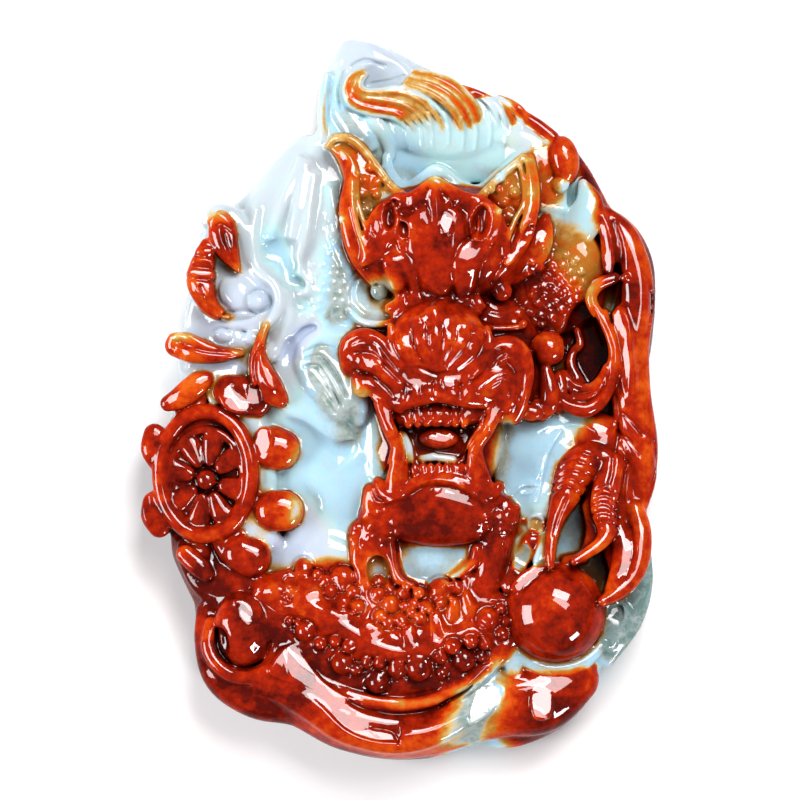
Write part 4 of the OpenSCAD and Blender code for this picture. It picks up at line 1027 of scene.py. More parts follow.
# Thickness of the skin: rows of column, row and half width, then thickness and softness.
# Thickness: 0 none, 0.3 amber, 0.55 orange, 0.8 red, 1 maroon
SKIN_STAINS = [
    ([[398, 152, 20], [440, 156, 26], [484, 150, 22]], 0.02, 14),
    ([[414, 126, 8], [428, 128, 8]], 0.05, 10), ([[512, 140, 12]], 0.1, 10),
    # The chin turns darker, to maroon, towards its bottom
    ([[408, 534, 10], [440, 530, 14], [472, 534, 10]], 1.0, 32),
    ([[210, 575, 26], [236, 588, 18]], 0.98, 14),
    ([[445, 740, 4], [455, 722, 12], [470, 700, 14], [485, 680, 14], [495, 662, 8]], 0.02, 10),
    ([[472, 736, 14], [480, 715, 16], [495, 690, 14]], 0.03, 10), ([[295, 505, 8], [293, 515, 7]], 0.17, 8),
    ([[296, 448, 4], [294, 460, 4]], 0.2, 8), ([[180, 398, 8], [196, 386, 14]], 0.62, 8),
    ([[238, 268, 3]], 0.3, 6), ([[232, 353, 3], [244, 352, 5]], 0.36, 7),
    ([[176, 336, 6], [196, 336, 3]], 0.45, 5), ([[228, 317, 4]], 0.4, 6),
    ([[266, 322, 6], [262, 338, 2]], 0.24, 8), ([[210, 216, 5], [222, 212, 4]], 0.4, 4),
    ([[262, 592, 6]], 0.6, 8), ([[560, 250, 18], [580, 262, 22], [590, 290, 10]], 0.36, 14),
    ([[538, 160, 12], [545, 192, 16]], 0.5, 8), ([[330, 145, 6], [340, 152, 4]], 0.42, 6),
    ([[506, 426, 7], [501, 448, 9], [498, 468, 8]], 0.1, 4),
    ([[300, 640, 14], [350, 672, 18], [400, 680, 16], [440, 676, 12], [478, 655, 10]], 0.98, 16),
    ([[208, 660, 14], [240, 690, 16], [290, 706, 16]], 0.98, 14),
    ([[285, 590, 20], [340, 596, 24], [400, 612, 18], [450, 608, 18]], 0.72, 14),
    ([[554, 611, 46]], 0.9, 10), ([[548, 614, 26]], 0.82, 18),
    ([[620, 250, 6], [612, 280, 10], [636, 300, 10]], 1.0, 10),
    ([[640, 250, 8], [648, 330, 8], [640, 400, 10]], 0.8, 10), ([[410, 330, 26], [450, 330, 26]], 0.76, 16),
    ([[205, 475, 34]], 0.9, 12), ([[404, 503, 10], [440, 500, 13], [474, 504, 10]], 0.93, 10),
    ([[572, 690, 16], [545, 732, 16]], 0.95, 12), ([[395, 742, 10], [350, 730, 10]], 0.78, 10),
    ([[440, 246, 14]], 0.95, 14), ([[565, 160, 10]], 0.7, 8), ([[348, 200, 3], [352, 240, 3]], 0.9, 3),
    ([[505, 182, 10], [512, 200, 8]], 0.5, 8), ([[370, 178, 10], [366, 196, 8]], 0.48, 8),
    ([[366, 212, 6]], 0.22, 6), ([[498, 176, 8]], 0.24, 6), ([[497, 292, 12]], 0.98, 6),
    ([[350, 693, 2], [380, 700, 3], [412, 702, 3], [440, 697, 4]], 0.3, 4),
    # Near white on the jaw pad and the fang: painted highlights
    ([[424, 457, 3], [438, 456, 4], [452, 458, 3]], 0.06, 3),
    ([[404, 436, 3], [408, 450, 4], [409, 458, 3]], 0.04, 3),
    ([[358, 300, 13], [370, 311, 12], [386, 320, 5]], 0.08, 5), ([[380, 290, 13]], 0.1, 5),
]

# The same for the block's own ground, where no form covers it
GROUND_STAINS = [
    # A small pale spot at the whisker hollow's upper left is a painted highlight
    ([[575, 325, 20], [585, 355, 22], [588, 385, 12]], 0.99, 6), ([[566, 322, 5]], 0.0, 6),
    ([[608, 215, 14], [645, 280, 16], [648, 340, 14], [645, 420, 16], [650, 470, 14], [640, 520, 10]],
     0.9, 5),
    ([[560, 250, 26], [580, 290, 26]], 0.38, 10),
    ([[515, 108, 5], [550, 132, 6], [575, 150, 7], [595, 180, 8], [610, 212, 9]], 0.86, 4),
    ([[203, 474, 50]], 0.9, 5), ([[200, 560, 24], [215, 585, 24], [212, 610, 14]], 0.97, 10),
    ([[215, 600, 22], [260, 600, 22], [290, 640, 20]], 0.9, 8),
    ([[330, 606, 46], [420, 640, 50], [480, 640, 30]], 0.9, 6),
    ([[600, 450, 26], [612, 500, 22], [615, 550, 16]], 0.9, 8), ([[374, 560, 18], [497, 550, 16]], 0.55, 8),
    ([[325, 92, 1.5], [323, 115, 1.5], [326, 138, 2]], 0.5, 3),
    ([[152, 440, 24], [152, 520, 24], [174, 560, 20], [190, 600, 20], [198, 640, 20]], 0.95, 6),
    ([[410, 62, 4], [424, 70, 7], [436, 74, 5]], 0.26, 6), ([[440, 264, 74]], 0.85, 6),
    ([[440, 362, 68], [440, 470, 52]], 0.85, 5), ([[378, 572, 9], [380, 582, 8]], 0.02, 5),
    ([[522, 556, 10]], 0.04, 5), ([[571, 524, 12], [574, 540, 12]], 0.06, 5), ([[594, 572, 8]], 0.05, 4),
    ([[422, 562, 22], [450, 556, 18]], 0.02, 4), ([[535, 523, 8]], 0.16, 6),
    ([[203, 650, 16], [225, 692, 18], [290, 718, 18], [340, 748, 18], [400, 764, 16], [425, 762, 14]],
     0.95, 8),
    ([[520, 752, 12], [556, 738, 14], [586, 706, 12]], 0.9, 8),
]


def carve_peak_and_hair(s, sizes):
    """The peak, the hollow in the hair, and the locks that are combed towards it."""
    s.ridges([PEAK_MASS, PEAK_CROWN, HAIR_MASS], 0.5, 0.8, JADE)
    s.ridge(SOFT_LOBE, 0.6, 0.4, JADE)
    s.ridge(PEAK_STREAK, 0.8, 0.4, JADE)
    s.ridge(LEAF, 0.5, 0.3, JADE)
    s.scoops([HAIR_HOLLOW], 0.5, JADE)
    s.ridges([HAIR_POOL, HAIR_FLOOR], 0.4, 0.8, JADE)
    s.scoops([PEAK_DIP], 0.6)
    s.ridge(CRESCENT, 0.8, 0.2, JADE)
    s.ridge(HOLLOW_RIM, 0.7, 0.25, JADE)
    for paint, lock in HAIR_LOCKS:
        s.ridge(widened(lock, sizes["lock"]), 0.9, 0.12, paint)
    for paints, first, last in COMBS:
        for k, paint in enumerate(paints):
            share = k / (len(paints) - 1)
            strand = [[(1 - share) * a + share * b for a, b in zip(p, q)] for p, q in zip(first, last)]
            s.ridge(widened(strand, sizes["lock"], 2 * (k % 2)), 1, 0.08, paint, 5)


def carve_paw(s, sizes):
    """The pale paw at the upper left with its folds, and the swells of the ground."""
    s.ridges(PAW_MASS, 0.4, 1.2, JADE)
    s.ridge(BROW_MASS, 0.4, 1.0, JADE)
    s.ridges(FLOOR_SWELLS, 0.35, 1.6, JADE)
    s.ridges(WHITE_FOLDS, 0.8, 0.7, JADE)
    s.scoops(WHITE_HOLLOWS, 0.35)
    s.domes(PALE_PAW, 0.4, JADE)


def carve_head(s, sizes):
    """The dragon's head without its mouth."""
    s.domes(HEAD_MASS, 0.6, SKIN)
    s.ridge(SIDE_MASS, 0.5, 0.8, SKIN)
    s.domes([FOREHEAD], 0.5, SKIN)
    for paint, lobe in CHEEK_LOBES:
        s.ridge(lobe, 0.8, 0.35, paint)
    s.scoops(EYE_SOCKETS, 0.3)
    for x, y, radius, height, paint in EYES:
        s.ball(x, y, radius * sizes["eye"], height, 0.9, 0.1, paint)
    s.rings(EYE_CREASES)
    s.ridge(widened(EYE_POUCHES[0], 0.8, -5), 0.8, 0.6, SKIN)
    s.ridge(widened(EYE_POUCHES[1], 1, -3), 0.8, 0.5, JADE)
    s.domes([NOSE_BODY], 0.4, SKIN)
    s.ridges(NOSE_RIBS, 0.6, 0.6, SKIN)
    s.ridges(NOSE_EDGE, 1, 0.12, SKIN)
    s.ridges(WINGS, 0.9, 0.22, SKIN)
    s.domes(NOSTRILS, 0.25)
    s.domes([CHEEK_BALL], 0.15, SKIN)
    s.ridges(CHEEK_LEAVES, 0.9, 0.12, SKIN)
    s.domes([CHIN], 0.3, SKIN)
    s.ridges(CHIN_CORNERS + HEAD_FILLS, 0.7, 0.5, SKIN)


def carve_mouth(s, sizes):
    """The open mouth: gums, teeth, tongue, fang and lips, with the jaw pad and the fang in near white as
    painted highlights.
    """
    floor = MOUTH_EDGE - 100 * sizes["mouth"] / s.depth
    s.scoops([[*MOUTH, floor, 0.9, 0]], 0.25, SKIN)
    s.domes([TONGUE_ROOT], 0.6, SKIN)
    s.ridge(GUM, 0.9, 0.2, SKIN)
    s.ridge(UPPER_LIP[0], 0.9, 0.3, SKIN)
    tooth = sizes["tooth"]
    upper = [[x, 416 + abs(x - MOUTH[0]) * 0.1, half * tooth, 9, 72, 0.8, 0] for x, half in UPPER_TEETH]
    s.domes(upper, 0.06, SKIN)
    # Jaw pad and fang in near white: painted highlights
    s.ridges(JAW_PAD_GLINT, 0.8, 0.15, CLEAR)
    s.ridge(LOWER_GUM, 0.7, 0.3, SKIN)
    s.domes([[x, 469, half * tooth, 7, 68, 0.8, 0] for x, half in LOWER_TEETH], 0.06, SKIN)
    s.domes([TONGUE], 0.2, SKIN)
    s.ridge(FANG_GLINT, 0.9, 0.3, CLEAR)
    s.ridges(MOUTH_STRAPS, 0.9, 0.25, SKIN)
    s.ridges(UPPER_LIP[1:] + LOWER_LIP, 0.9, 0.15, SKIN)


def carve_lotus(s, sizes):
    """The lotus crown over the brow, with its seed pockets and folds."""
    s.domes([LOTUS_BOWL], 0.2, SKIN)
    s.domes([LOTUS_BELLY], 0.6, SKIN)
    s.ridges(POCKETS, 0.5, 0.4, THIN)
    s.scoops(POCKET_HOLLOWS, 0.3)
    s.ridge(LOTUS_UNDER, 0.4, 0.8, SKIN)
    s.ridge(LOTUS_OUTER, 0.7, 0.25, SKIN)
    for paint, wall in LOTUS_WALLS:
        s.ridge(wall, 0.9, 0.2, paint)
    s.ridge(LOTUS_RIM, 0.9, 0.2, SKIN)
    s.ridge(LOTUS_KEEL, 0.7, 0.4, SKIN)
    s.ridges(LOTUS_FOLDS, 0.35, 0.9, SKIN)
    s.ridges(LOTUS_STRANDS, 0.8, 0.3, THIN)


def carve_throat_and_side(s, sizes):
    """The throat, the dark hollow beside the jaw, the band of the body and the whisker over them."""
    s.ridges(THROAT, 0.8, 0.35, SKIN)
    s.scoops(THROAT_HOLLOWS, 0.3, JADE)
    s.scoops([WHISKER_HOLLOW], 0.6, DARK)
    s.ridge(HOLLOW_EDGE, 0.8, 0.3, DARK)
    s.ridge(BODY_BAND, 0.75, 0.4, SKIN)
    s.ridge(BAND_WEDGE, 0.9, 0.3, SKIN)
    s.ridge(BAND_RIDGE, 0.8, 0.5, SKIN)
    s.ridge(PALE_LEAF, 0.6, 0.3, JADE)
    s.ridge(PALE_STRIP, 0.8, 0.2, JADE)
    s.domes(SIDE_DOMES, 0.2)
    whisker = widened(WHISKER, sizes["whisker"])
    s.tube(whisker, 1, 0.12, SKIN)
    s.ridge(widened(whisker, 0.55, -6), 1, 0.3, SKIN)
    s.ridges(WHISKER_STRANDS, 1, 0.15, SKIN)


def carve_claws(s, sizes):
    """The claws at the left edge, which stand free of the wall under them."""
    for claw in CLAWS:
        s.ridge(widened(claw, 1.15, 5), 0.75, 0.12, SKIN, 6)
    s.ridges(CLAW_TOPS, 0.8, 0.35, SKIN, 6)


def wheel_place(turn, across, along, middle=WHEEL[:2]):
    """Column and row at a turn in radians round the wheel."""
    return [middle[0] + across * math.cos(turn), middle[1] + along * math.sin(turn)]


def wheel_height(turn, share):
    """Height of the leaning wheel at a turn in radians and a share of its half width."""
    return WHEEL[4] + WHEEL_LEAN * share * math.cos(turn)


def carve_wheel(s, sizes):
    """The wheel with its outer lobes, leaf, rim, petals and hub."""
    cx, cy, across, along, height = WHEEL
    half = sizes["rim"] / 2 / s.row
    s.domes([[cx, cy, across + 4, along + 4, height - 6, 0.12, 0]], 0.3, SKIN)
    for lobe in WHEEL_LOBES:
        s.ridge(lobe, 0.6, 0.15, SKIN, LOBE_ROOT)
        x, y, _, top = lobe[len(lobe) // 2]
        foot = wheel_place(math.atan2(y - cy, x - cx), 0.9 * across, 0.9 * along)
        s.ridge([foot + [12, top - 10], [x, y, 10, top - 10]], 0.7, 0.2, SKIN, LOBE_ROOT)
    s.ridge(WHEEL_LEAF, 0.7, 0.2, SKIN, 5)
    s.ridge(LEAF_STEM, 0.7, 0.2, SKIN)
    s.scoops([[cx, cy, across - half + 2, along - half + 2, height - 12, 0.06, 0]], 0.25, SKIN)
    turns = [2 * math.pi * k / 24 for k in range(25)]
    rim = [wheel_place(a, across, along) + [half, wheel_height(a, 1) + 2] for a in turns]
    s.ridge(rim, 0.9, 0.25, SKIN)
    middle = [cx + 1, cy + 6]
    for k in range(sizes["petals"]):
        a = 2 * math.pi * (k + 0.3) / sizes["petals"]
        rows = []
        for share, width in ((0.3, 4), (0.55, 9), (0.78, 12)):
            spot = wheel_place(a, share * (across - 8), share * (along - 12), middle)
            rows.append(spot + [width * 0.9, wheel_height(a, share) - 2])
        s.ridge(rows, 0.55, 0.1, SKIN)
    inner = [wheel_place(a, across - 9, along - 12, middle) + [3.5, wheel_height(a, 0.8) - 3] for a in turns]
    s.ridge(inner, 0.9, 0.25, SKIN)
    hub = sizes["hub"] / 2 / s.row
    s.ball(middle[0], middle[1], hub, height + 4, 0.9, 0.08, SKIN)
    s.rings([[middle[0], middle[1], hub + 2, hub + 3, 3, 0.3, 0]])


def carve_hand_ground(s, sizes):
    """The palm and the ground that the hand rests on."""
    s.ridge(SLAB_LEDGE, 0.5, 0.8, JADE)
    s.ridge(PALM, 0.6, 0.5, SKIN)
    s.ridge(MOSS_RIDGE, 0.7, 0.5, JADE)
    s.scoops(HAND_HOLLOWS, 0.3, JADE)


def carve_waves(s, sizes):
    """The waves along the bottom and the curl at their left end."""
    s.ridge(WAVE_BAND, 0.75, 0.6, SKIN)
    s.ridge(WAVE_TOP, 0.6, 1.2, SKIN)
    s.channel(WAVE_CHANNEL, 0.5)
    s.ridge(WAVE_LIP, 0.5, 0.8, SKIN)
    s.ridge(WAVE_FOLD, 0.6, 0.5, JADE)
    s.ridge(PEARL_RING, 0.8, 0.3, JADE)
    s.domes([CURL_BALL], 0.15, SKIN)
    s.ridge(CURL_RING, 0.8, 0.3, SKIN)
    s.ridge(CURL_FILL, 0.5, 0.6, SKIN)
    s.scoops([CURL_HOLLOW], 0.4, DARK)


def carve_body(s, sizes):
    """The body under the chin, and the chin and lower lip once more over it."""
    s.ridge(BODY_MASS, 0.45, 0.4, SKIN)
    s.ridge(BODY_CREST, 0.8, 1.2, SKIN)
    s.domes(BODY_LOBES, 0.35)
    s.scoops([CHIN_HOLLOW], 0.5, JADE)
    s.domes([CHIN_POOL], 0.8, JADE)
    s.domes([CHIN], 0.3, SKIN)
    s.ridges(LOWER_LIP, 0.9, 0.15, SKIN)


def carve_pearl_and_fingers(s, sizes):
    """The pearl, the long fingers that hold it, and the pale one beside them."""
    x, y, height = PEARL
    s.ball(x, y, sizes["pearl"] / 2 / s.row, height, 0.85, 0.08, SKIN)
    s.ridges(FINGERS[:-1], 0.9, 0.2, SKIN)
    s.ridge(FINGERS[-1], 0.9, 0.2, JADE)


def carve_lines(s, sizes):
    """Engraved lines, shallow hollows and rings on the finished forms."""
    for place in LOTUS_HOLLOWS:
        s.press(*place)
    s.rings(LOTUS_RINGS)
    s.engrave(LOTUS_GROOVES, 0.2)
    s.engrave(HAIR_LINES, 0.4)
    s.engrave(FALLS, -0.22)
    s.engrave(NOSE_LINES, 0.2)
    s.engrave([[[x, 406, 1.4], [x, 425, 1.8]] for x in TOOTH_GAPS], 0.22)
    s.engrave(WING_LINES, 0.25)
    s.engrave(STRAP_LINES + CHEEK_LINES, 0.35)
    s.engrave(LIP_LINES, -0.25)
    s.engrave(WHISKER_LINES + BAND_LINES + CLAW_LINES + FINGER_LINES, 0.3)
    s.engrave(WAVE_GROOVES, 0.5)
    s.engrave([CURL_GROOVE], 0.6)
    s.engrave(FLOOR_LINES, -0.2)
    s.rings(PAW_RINGS + HAND_RINGS)


def carve_beads(s, sizes):
    """Beads that are seated on the finished surface, each in the place of a drill."""
    grow = sizes["bead"]
    s.find_crest()
    x, y, radius = HAND_BEAD
    s.seat(x, y, radius * grow, 0.6, CLEAR)
    for x, y, radius in LOTUS_SEEDS:
        s.seat(x, y, radius * grow, 0.75, THIN)
    s.rings([[x, y, radius + 1.5, radius + 1.5, 2.5, 0.26, 0] for x, y, radius in BEADS])
    for x, y, radius in BEADS + THROAT_BEADS:
        s.seat(x, y, radius * grow, 0.42 if y < HIGH_BEADS_BELOW else 0.62, SKIN)
    for x, y in BROW_BEADS:
        s.seat(x, y, BROW_BEAD_RADIUS * grow, 0.7, SKIN)
    for left, right, top, bottom, pitch, radius in PALE_BEAD_FIELDS:
        line = pitch * 0.86
        for j in range(int((bottom - top) / line)):
            for i in range(int((right - left) / pitch)):
                x = left + (i + 0.5 * (j % 2)) * pitch + 1.5 * math.sin(3 * i + 5 * j)
                y = top + j * line + 1.2 * math.sin(4 * i + 2 * j)
                s.seat(x, y, radius * grow, 0.45, JADE)


# The parts in the order of carving: later ones are joined to earlier ones or cut into them
CARVING = (
    carve_peak_and_hair, carve_paw, carve_head, carve_mouth, carve_lotus, carve_throat_and_side, carve_claws,
    carve_wheel, carve_hand_ground, carve_waves, carve_body, carve_pearl_and_fingers,
)


def carve(stone, sizes):
    """Carves the pendant: the block, its forms, the ground faces, and lines and beads over them."""
    stone.slab(OUTLINE, sizes["block"], sizes["edge"], JADE)
    for part in CARVING:
        part(stone, sizes)
    for outline, height, lean in FACETS:
        stone.facet(outline, height, lean)
    carve_lines(stone, sizes)
    carve_beads(stone, sizes)


def finish_surface(stone):
    """Softens the cut edges a little, as polishing does, and drills the cord hole."""
    field = stone.field
    for axis in range(3):
        a, b, c = [slice(None)] * 3, [slice(None)] * 3, [slice(None)] * 3
        a[axis], b[axis], c[axis] = slice(None, -2), slice(1, -1), slice(2, None)
        field[tuple(b)] = 0.25 * field[tuple(a)] + 0.5 * field[tuple(b)] + 0.25 * field[tuple(c)]
    tip = stone.spots([[0, TIP_ROW]])[0, 1]
    cut, _, y, z = stone.window([-30, tip - 6, 0], [30, tip - 2, 6])
    hole = np.sqrt((y - (tip - HOLE_BELOW_TIP)) ** 2 + (z - HOLE_HEIGHT) ** 2) - HOLE_DIAMETER / 2
    stone.cut_away(cut, hole.astype(np.float32), 0.1)
    cut, _, _, z = stone.window([-40, -40, -1], [40, 40, ROOM])
    stone.field[cut] = np.maximum(stone.field[cut], -z)


def masks_of(stone, points, edges):
    """Values from 0 to 1 at the mesh's corners: skin, cool, hollow, crest and rim. Hollow is painted shade,
    rim darkens the outer walls as painted shade, and crest thins the skin, partly as a painted highlight.
    """
    count = len(points)
    index = ((points - stone.low) / stone.step + 0.5).astype(int)
    index = np.clip(index, 0, np.array(stone.field.shape) - 1)
    owner = stone.paint[index[:, 0], index[:, 1], index[:, 2]]
    skin = np.array(SKIN_OF)[owner]
    dark = (owner == DARK).astype(float)
    column = points[:, 0] / stone.column + stone.middle[0]
    row = stone.middle[1] - points[:, 1] / stone.row
    height = points[:, 2]
    crest = stone.find_crest()
    inward = sampled(stone.plan_edge, stone, points)

    # Low ground and the walls take the block's own colours, along wandering edges
    brow = crest
    reach = int(round(0.5 / stone.step))
    for axis in (0, 1):
        brow = np.maximum(np.maximum(brow, np.roll(brow, reach, axis)), np.roll(brow, -reach, axis))
    drop = sampled(brow, stone, points) - height
    low = np.clip((5.2 - height) / 2.2, 0, 1)
    low = np.maximum(low, np.clip((drop - 1.0) / 1.6, 0, 1) * np.clip((inward + 1.4) / 0.6, 0, 1))
    across = np.sin(1.3 * height + row / 14) + 0.5 * np.sin(2.9 * height + row / 6)
    along = np.sin(1.7 * height + column / 17) + 0.5 * np.sin(3.3 * height + column / 7)
    places = np.stack([column, row], 1) + 7 * (low * np.stack([across, along])).T

    cool = np.full(count, 0.35)
    stain(cool, places, COOL_STAINS)
    stain(skin, places, SKIN_STAINS)
    bare = skin.copy()
    stain(bare, places, GROUND_STAINS)
    ground = np.zeros(count)
    stain(ground, places, GROUND_STAINS, 4)
    skin = np.where(owner == JADE, bare, skin) * (1 - low) + ground * low

    # How far the surface lies under its surroundings, seen over three reaches: painted shade for hollows,
    # creases and gaps between forms
    fine, near, far = (sampled(blurred(crest, size / stone.step), stone, points) for size in (0.3, 0.7, 2.0))
    hollow = np.clip((near - height) / 1.2, 0, 1) * 0.65 + np.clip((far - height) / 3.5, 0, 1) * 0.5
    hollow += np.clip((fine - height - 0.02) / 0.3, 0, 1) * 0.45
    # Rim: the block's outer walls, which the shader darkens as painted shade and makes duller
    rim = np.clip((2.0 + inward) / 1.2, 0, 1) * np.clip((9.0 - height) / 2.5, 0, 1)
    # Hollows painted DARK take still more painted shade
    hollow = np.clip(hollow + 0.4 * eased(dark, edges, 3, count), 0, 1)
    return {
        "skin": eased(skin, edges, 3, count),
        "cool": eased(cool, edges, 2, count),
        "hollow": eased(hollow, edges, 2, count),
        # Crests: thinner skin, partly worn and partly a painted highlight
        "crest": eased(np.clip((height - near) / 0.8, 0, 1), edges, 2, count),
        "rim": eased(rim, edges, 2, count),
    }


def surface_of(stone):
    """Corners and four-sided faces of the stone's surface, one corner in each grid cell that it passes."""
    field = stone.field
    inside = field < 0
    size = [s - 1 for s in field.shape]
    some = np.zeros(size, bool)
    every = np.ones(size, bool)
    corners = [(i, j, k) for i in (0, 1) for j in (0, 1) for k in (0, 1)]
    for i, j, k in corners:
        part = inside[i : i + size[0], j : j + size[1], k : k + size[2]]
        some |= part
        every &= part
    mixed = some & ~every
    cells = np.argwhere(mixed)
    number = np.full(size, -1, np.int32)
    number[mixed] = np.arange(len(cells), dtype=np.int32)
    value = {c: field[cells[:, 0] + c[0], cells[:, 1] + c[1], cells[:, 2] + c[2]] for c in corners}
    total = np.zeros((len(cells), 3))
    count = np.zeros(len(cells))
    for a in corners:
        for axis in range(3):
            if a[axis] == 1:
                continue
            b = tuple(1 if n == axis else a[n] for n in range(3))
            va, vb = value[a], value[b]
            cross = (va < 0) != (vb < 0)
            share = np.where(cross, va / np.where(cross, va - vb, 1), 0)
            for n in range(3):
                total[:, n] += cross * (a[n] + (share if n == axis else 0))
            count += cross
    points = stone.low + stone.step * (cells + total / np.maximum(count, 1)[:, None])
    faces = []
    for axis in range(3):
        u, v = [n for n in range(3) if n != axis]
        lower, upper = [slice(None)] * 3, [slice(None)] * 3
        lower[axis], upper[axis] = slice(None, -1), slice(1, None)
        change = inside[tuple(lower)] != inside[tuple(upper)]
        cut = [slice(1, -1)] * 3
        cut[axis] = slice(None)
        spots = np.argwhere(change[tuple(cut)])
        spots[:, u] += 1
        spots[:, v] += 1
        out = inside[tuple(spots.T)]
        ring = []
        for du, dv in ((-1, -1), (0, -1), (0, 0), (-1, 0)):
            at = spots.copy()
            at[:, u] += du
            at[:, v] += dv
            ring.append(number[tuple(at.T)])
        quads = np.stack(ring, 1)
        turn = out if axis != 1 else ~out
        quads[~turn] = quads[~turn][:, ::-1]
        faces.append(quads)
    return points, np.concatenate(faces)


def blurred(sheet, reach):
    """A sheet of values blurred by a bell curve, with its edges held."""
    size = int(3 * reach) + 1
    bell = np.exp(-0.5 * (np.arange(-size, size + 1) / reach) ** 2)
    bell /= bell.sum()
    out = sheet.astype(np.float64)
    for axis in (0, 1):
        wide = np.pad(out, [(size, size) if n == axis else (0, 0) for n in (0, 1)], mode="edge")
        total = np.zeros_like(out)
        for k, share in enumerate(bell):
            part = [slice(None)] * 2
            part[axis] = slice(k, k + out.shape[axis])
            total += share * wide[tuple(part)]
        out = total
    return out


def sampled(sheet, stone, points):
    """Values of a sheet over the plan at the points, blended between its places."""
    u = (points[:, 0] - stone.low[0]) / stone.step
    v = (points[:, 1] - stone.low[1]) / stone.step
    i = np.clip(u.astype(int), 0, sheet.shape[0] - 2)
    j = np.clip(v.astype(int), 0, sheet.shape[1] - 2)
    a, b = np.clip(u - i, 0, 1), np.clip(v - j, 0, 1)
    near = sheet[i, j] * (1 - a) + sheet[i + 1, j] * a
    far = sheet[i, j + 1] * (1 - a) + sheet[i + 1, j + 1] * a
    return near * (1 - b) + far * b


def eased(values, edges, rounds, count):
    """Values at the corners of a mesh, each drawn towards its neighbours' mean."""
    a, b = edges[:, 0], edges[:, 1]
    shared = np.bincount(a, minlength=count) + np.bincount(b, minlength=count)
    for _ in range(rounds):
        total = np.bincount(a, values[b], count) + np.bincount(b, values[a], count)
        values = 0.4 * values + 0.6 * total / np.maximum(shared, 1)
    return values


def stain(values, places, stains, more=0):
    """Draws values towards each stain's amount along its line of columns, rows and half width."""
    for rows, amount, soft in stains:
        path = smooth_path(rows, 4)
        fade = soft + more
        reach = path[:, 2].max() + fade
        low, high = path[:, :2].min(axis=0) - reach, path[:, :2].max(axis=0) + reach
        spots = np.nonzero(((places > low) & (places < high)).all(axis=1))[0]
        x, y = places[spots].T
        gap = np.full(len(spots), 1e9)
        if len(path) == 1:
            gap = np.hypot(x - path[0, 0], y - path[0, 1]) - path[0, 2]
        for a, b in zip(path[:-1], path[1:]):
            t, far = beside(x, y, a[:2], b[:2])
            gap = np.minimum(gap, far - (a[2] + (b[2] - a[2]) * t))
        part = np.clip(0.5 - gap / (2 * fade), 0, 1)
        part = part * part * (3 - 2 * part)
        values[spots] = values[spots] * (1 - part) + amount * part


def new_group(name, inputs, outputs):
    """An empty shader node group with its named sockets."""
    old = bpy.data.node_groups.get(name)
    if old:
        bpy.data.node_groups.remove(old)
    group = bpy.data.node_groups.new(name, "ShaderNodeTree")
    for label, kind, default in inputs:
        socket = group.interface.new_socket(label, in_out="INPUT", socket_type=kind)
        if default is not None:
            socket.default_value = default
    for label, kind in outputs:
        group.interface.new_socket(label, in_out="OUTPUT", socket_type=kind)
    return group, group.nodes.new("NodeGroupInput"), group.nodes.new("NodeGroupOutput")


def noise(nodes, links, place, scale, detail, rough=0.55):
    """A noise over the object's own places."""
    node = nodes.new("ShaderNodeTexNoise")
    node.inputs["Scale"].default_value = scale
    node.inputs["Detail"].default_value = detail
    node.inputs["Roughness"].default_value = rough
    links.new(place, node.inputs["Vector"])
    return node.outputs["Fac"]


def reckon(nodes, links, work, a, b):
    """One step of sums on two sockets or numbers."""
    node = nodes.new("ShaderNodeMath")
    node.operation = work
    for socket, value in zip(node.inputs, (a, b)):
        if isinstance(value, (int, float)):
            socket.default_value = value
        else:
            links.new(value, socket)
    return node.outputs[0]


def spread(nodes, links, value, low, high, first, last):
    """A value between two bounds, spread over another range."""
    node = nodes.new("ShaderNodeMapRange")
    node.inputs["From Min"].default_value = low
    node.inputs["From Max"].default_value = high
    node.inputs["To Min"].default_value = first
    node.inputs["To Max"].default_value = last
    links.new(value, node.inputs["Value"])
    return node.outputs["Result"]


def ramp(nodes, links, value, stops):
    """A colour that changes with a value, through stops of place and colour."""
    node = nodes.new("ShaderNodeValToRGB")
    marks = node.color_ramp.elements
    while len(marks) < len(stops):
        marks.new(0.5)
    for mark, (place, color) in zip(marks, stops):
        mark.position = place
        mark.color = (*color, 1)
    links.new(value, node.inputs["Fac"])
    return node.outputs["Color"]


def blend(nodes, links, kind, share, a, b):
    """Two colours mixed or multiplied by a share."""
    node = nodes.new("ShaderNodeMix")
    node.data_type = "RGBA"
    node.blend_type = kind
    for socket, value in ((node.inputs["Factor"], share), (node.inputs[6], a), (node.inputs[7], b)):
        if isinstance(value, (int, float)):
            socket.default_value = value
        elif isinstance(value, tuple):
            socket.default_value = (*value, 1)
        else:
            links.new(value, socket)
    return node.outputs[2]


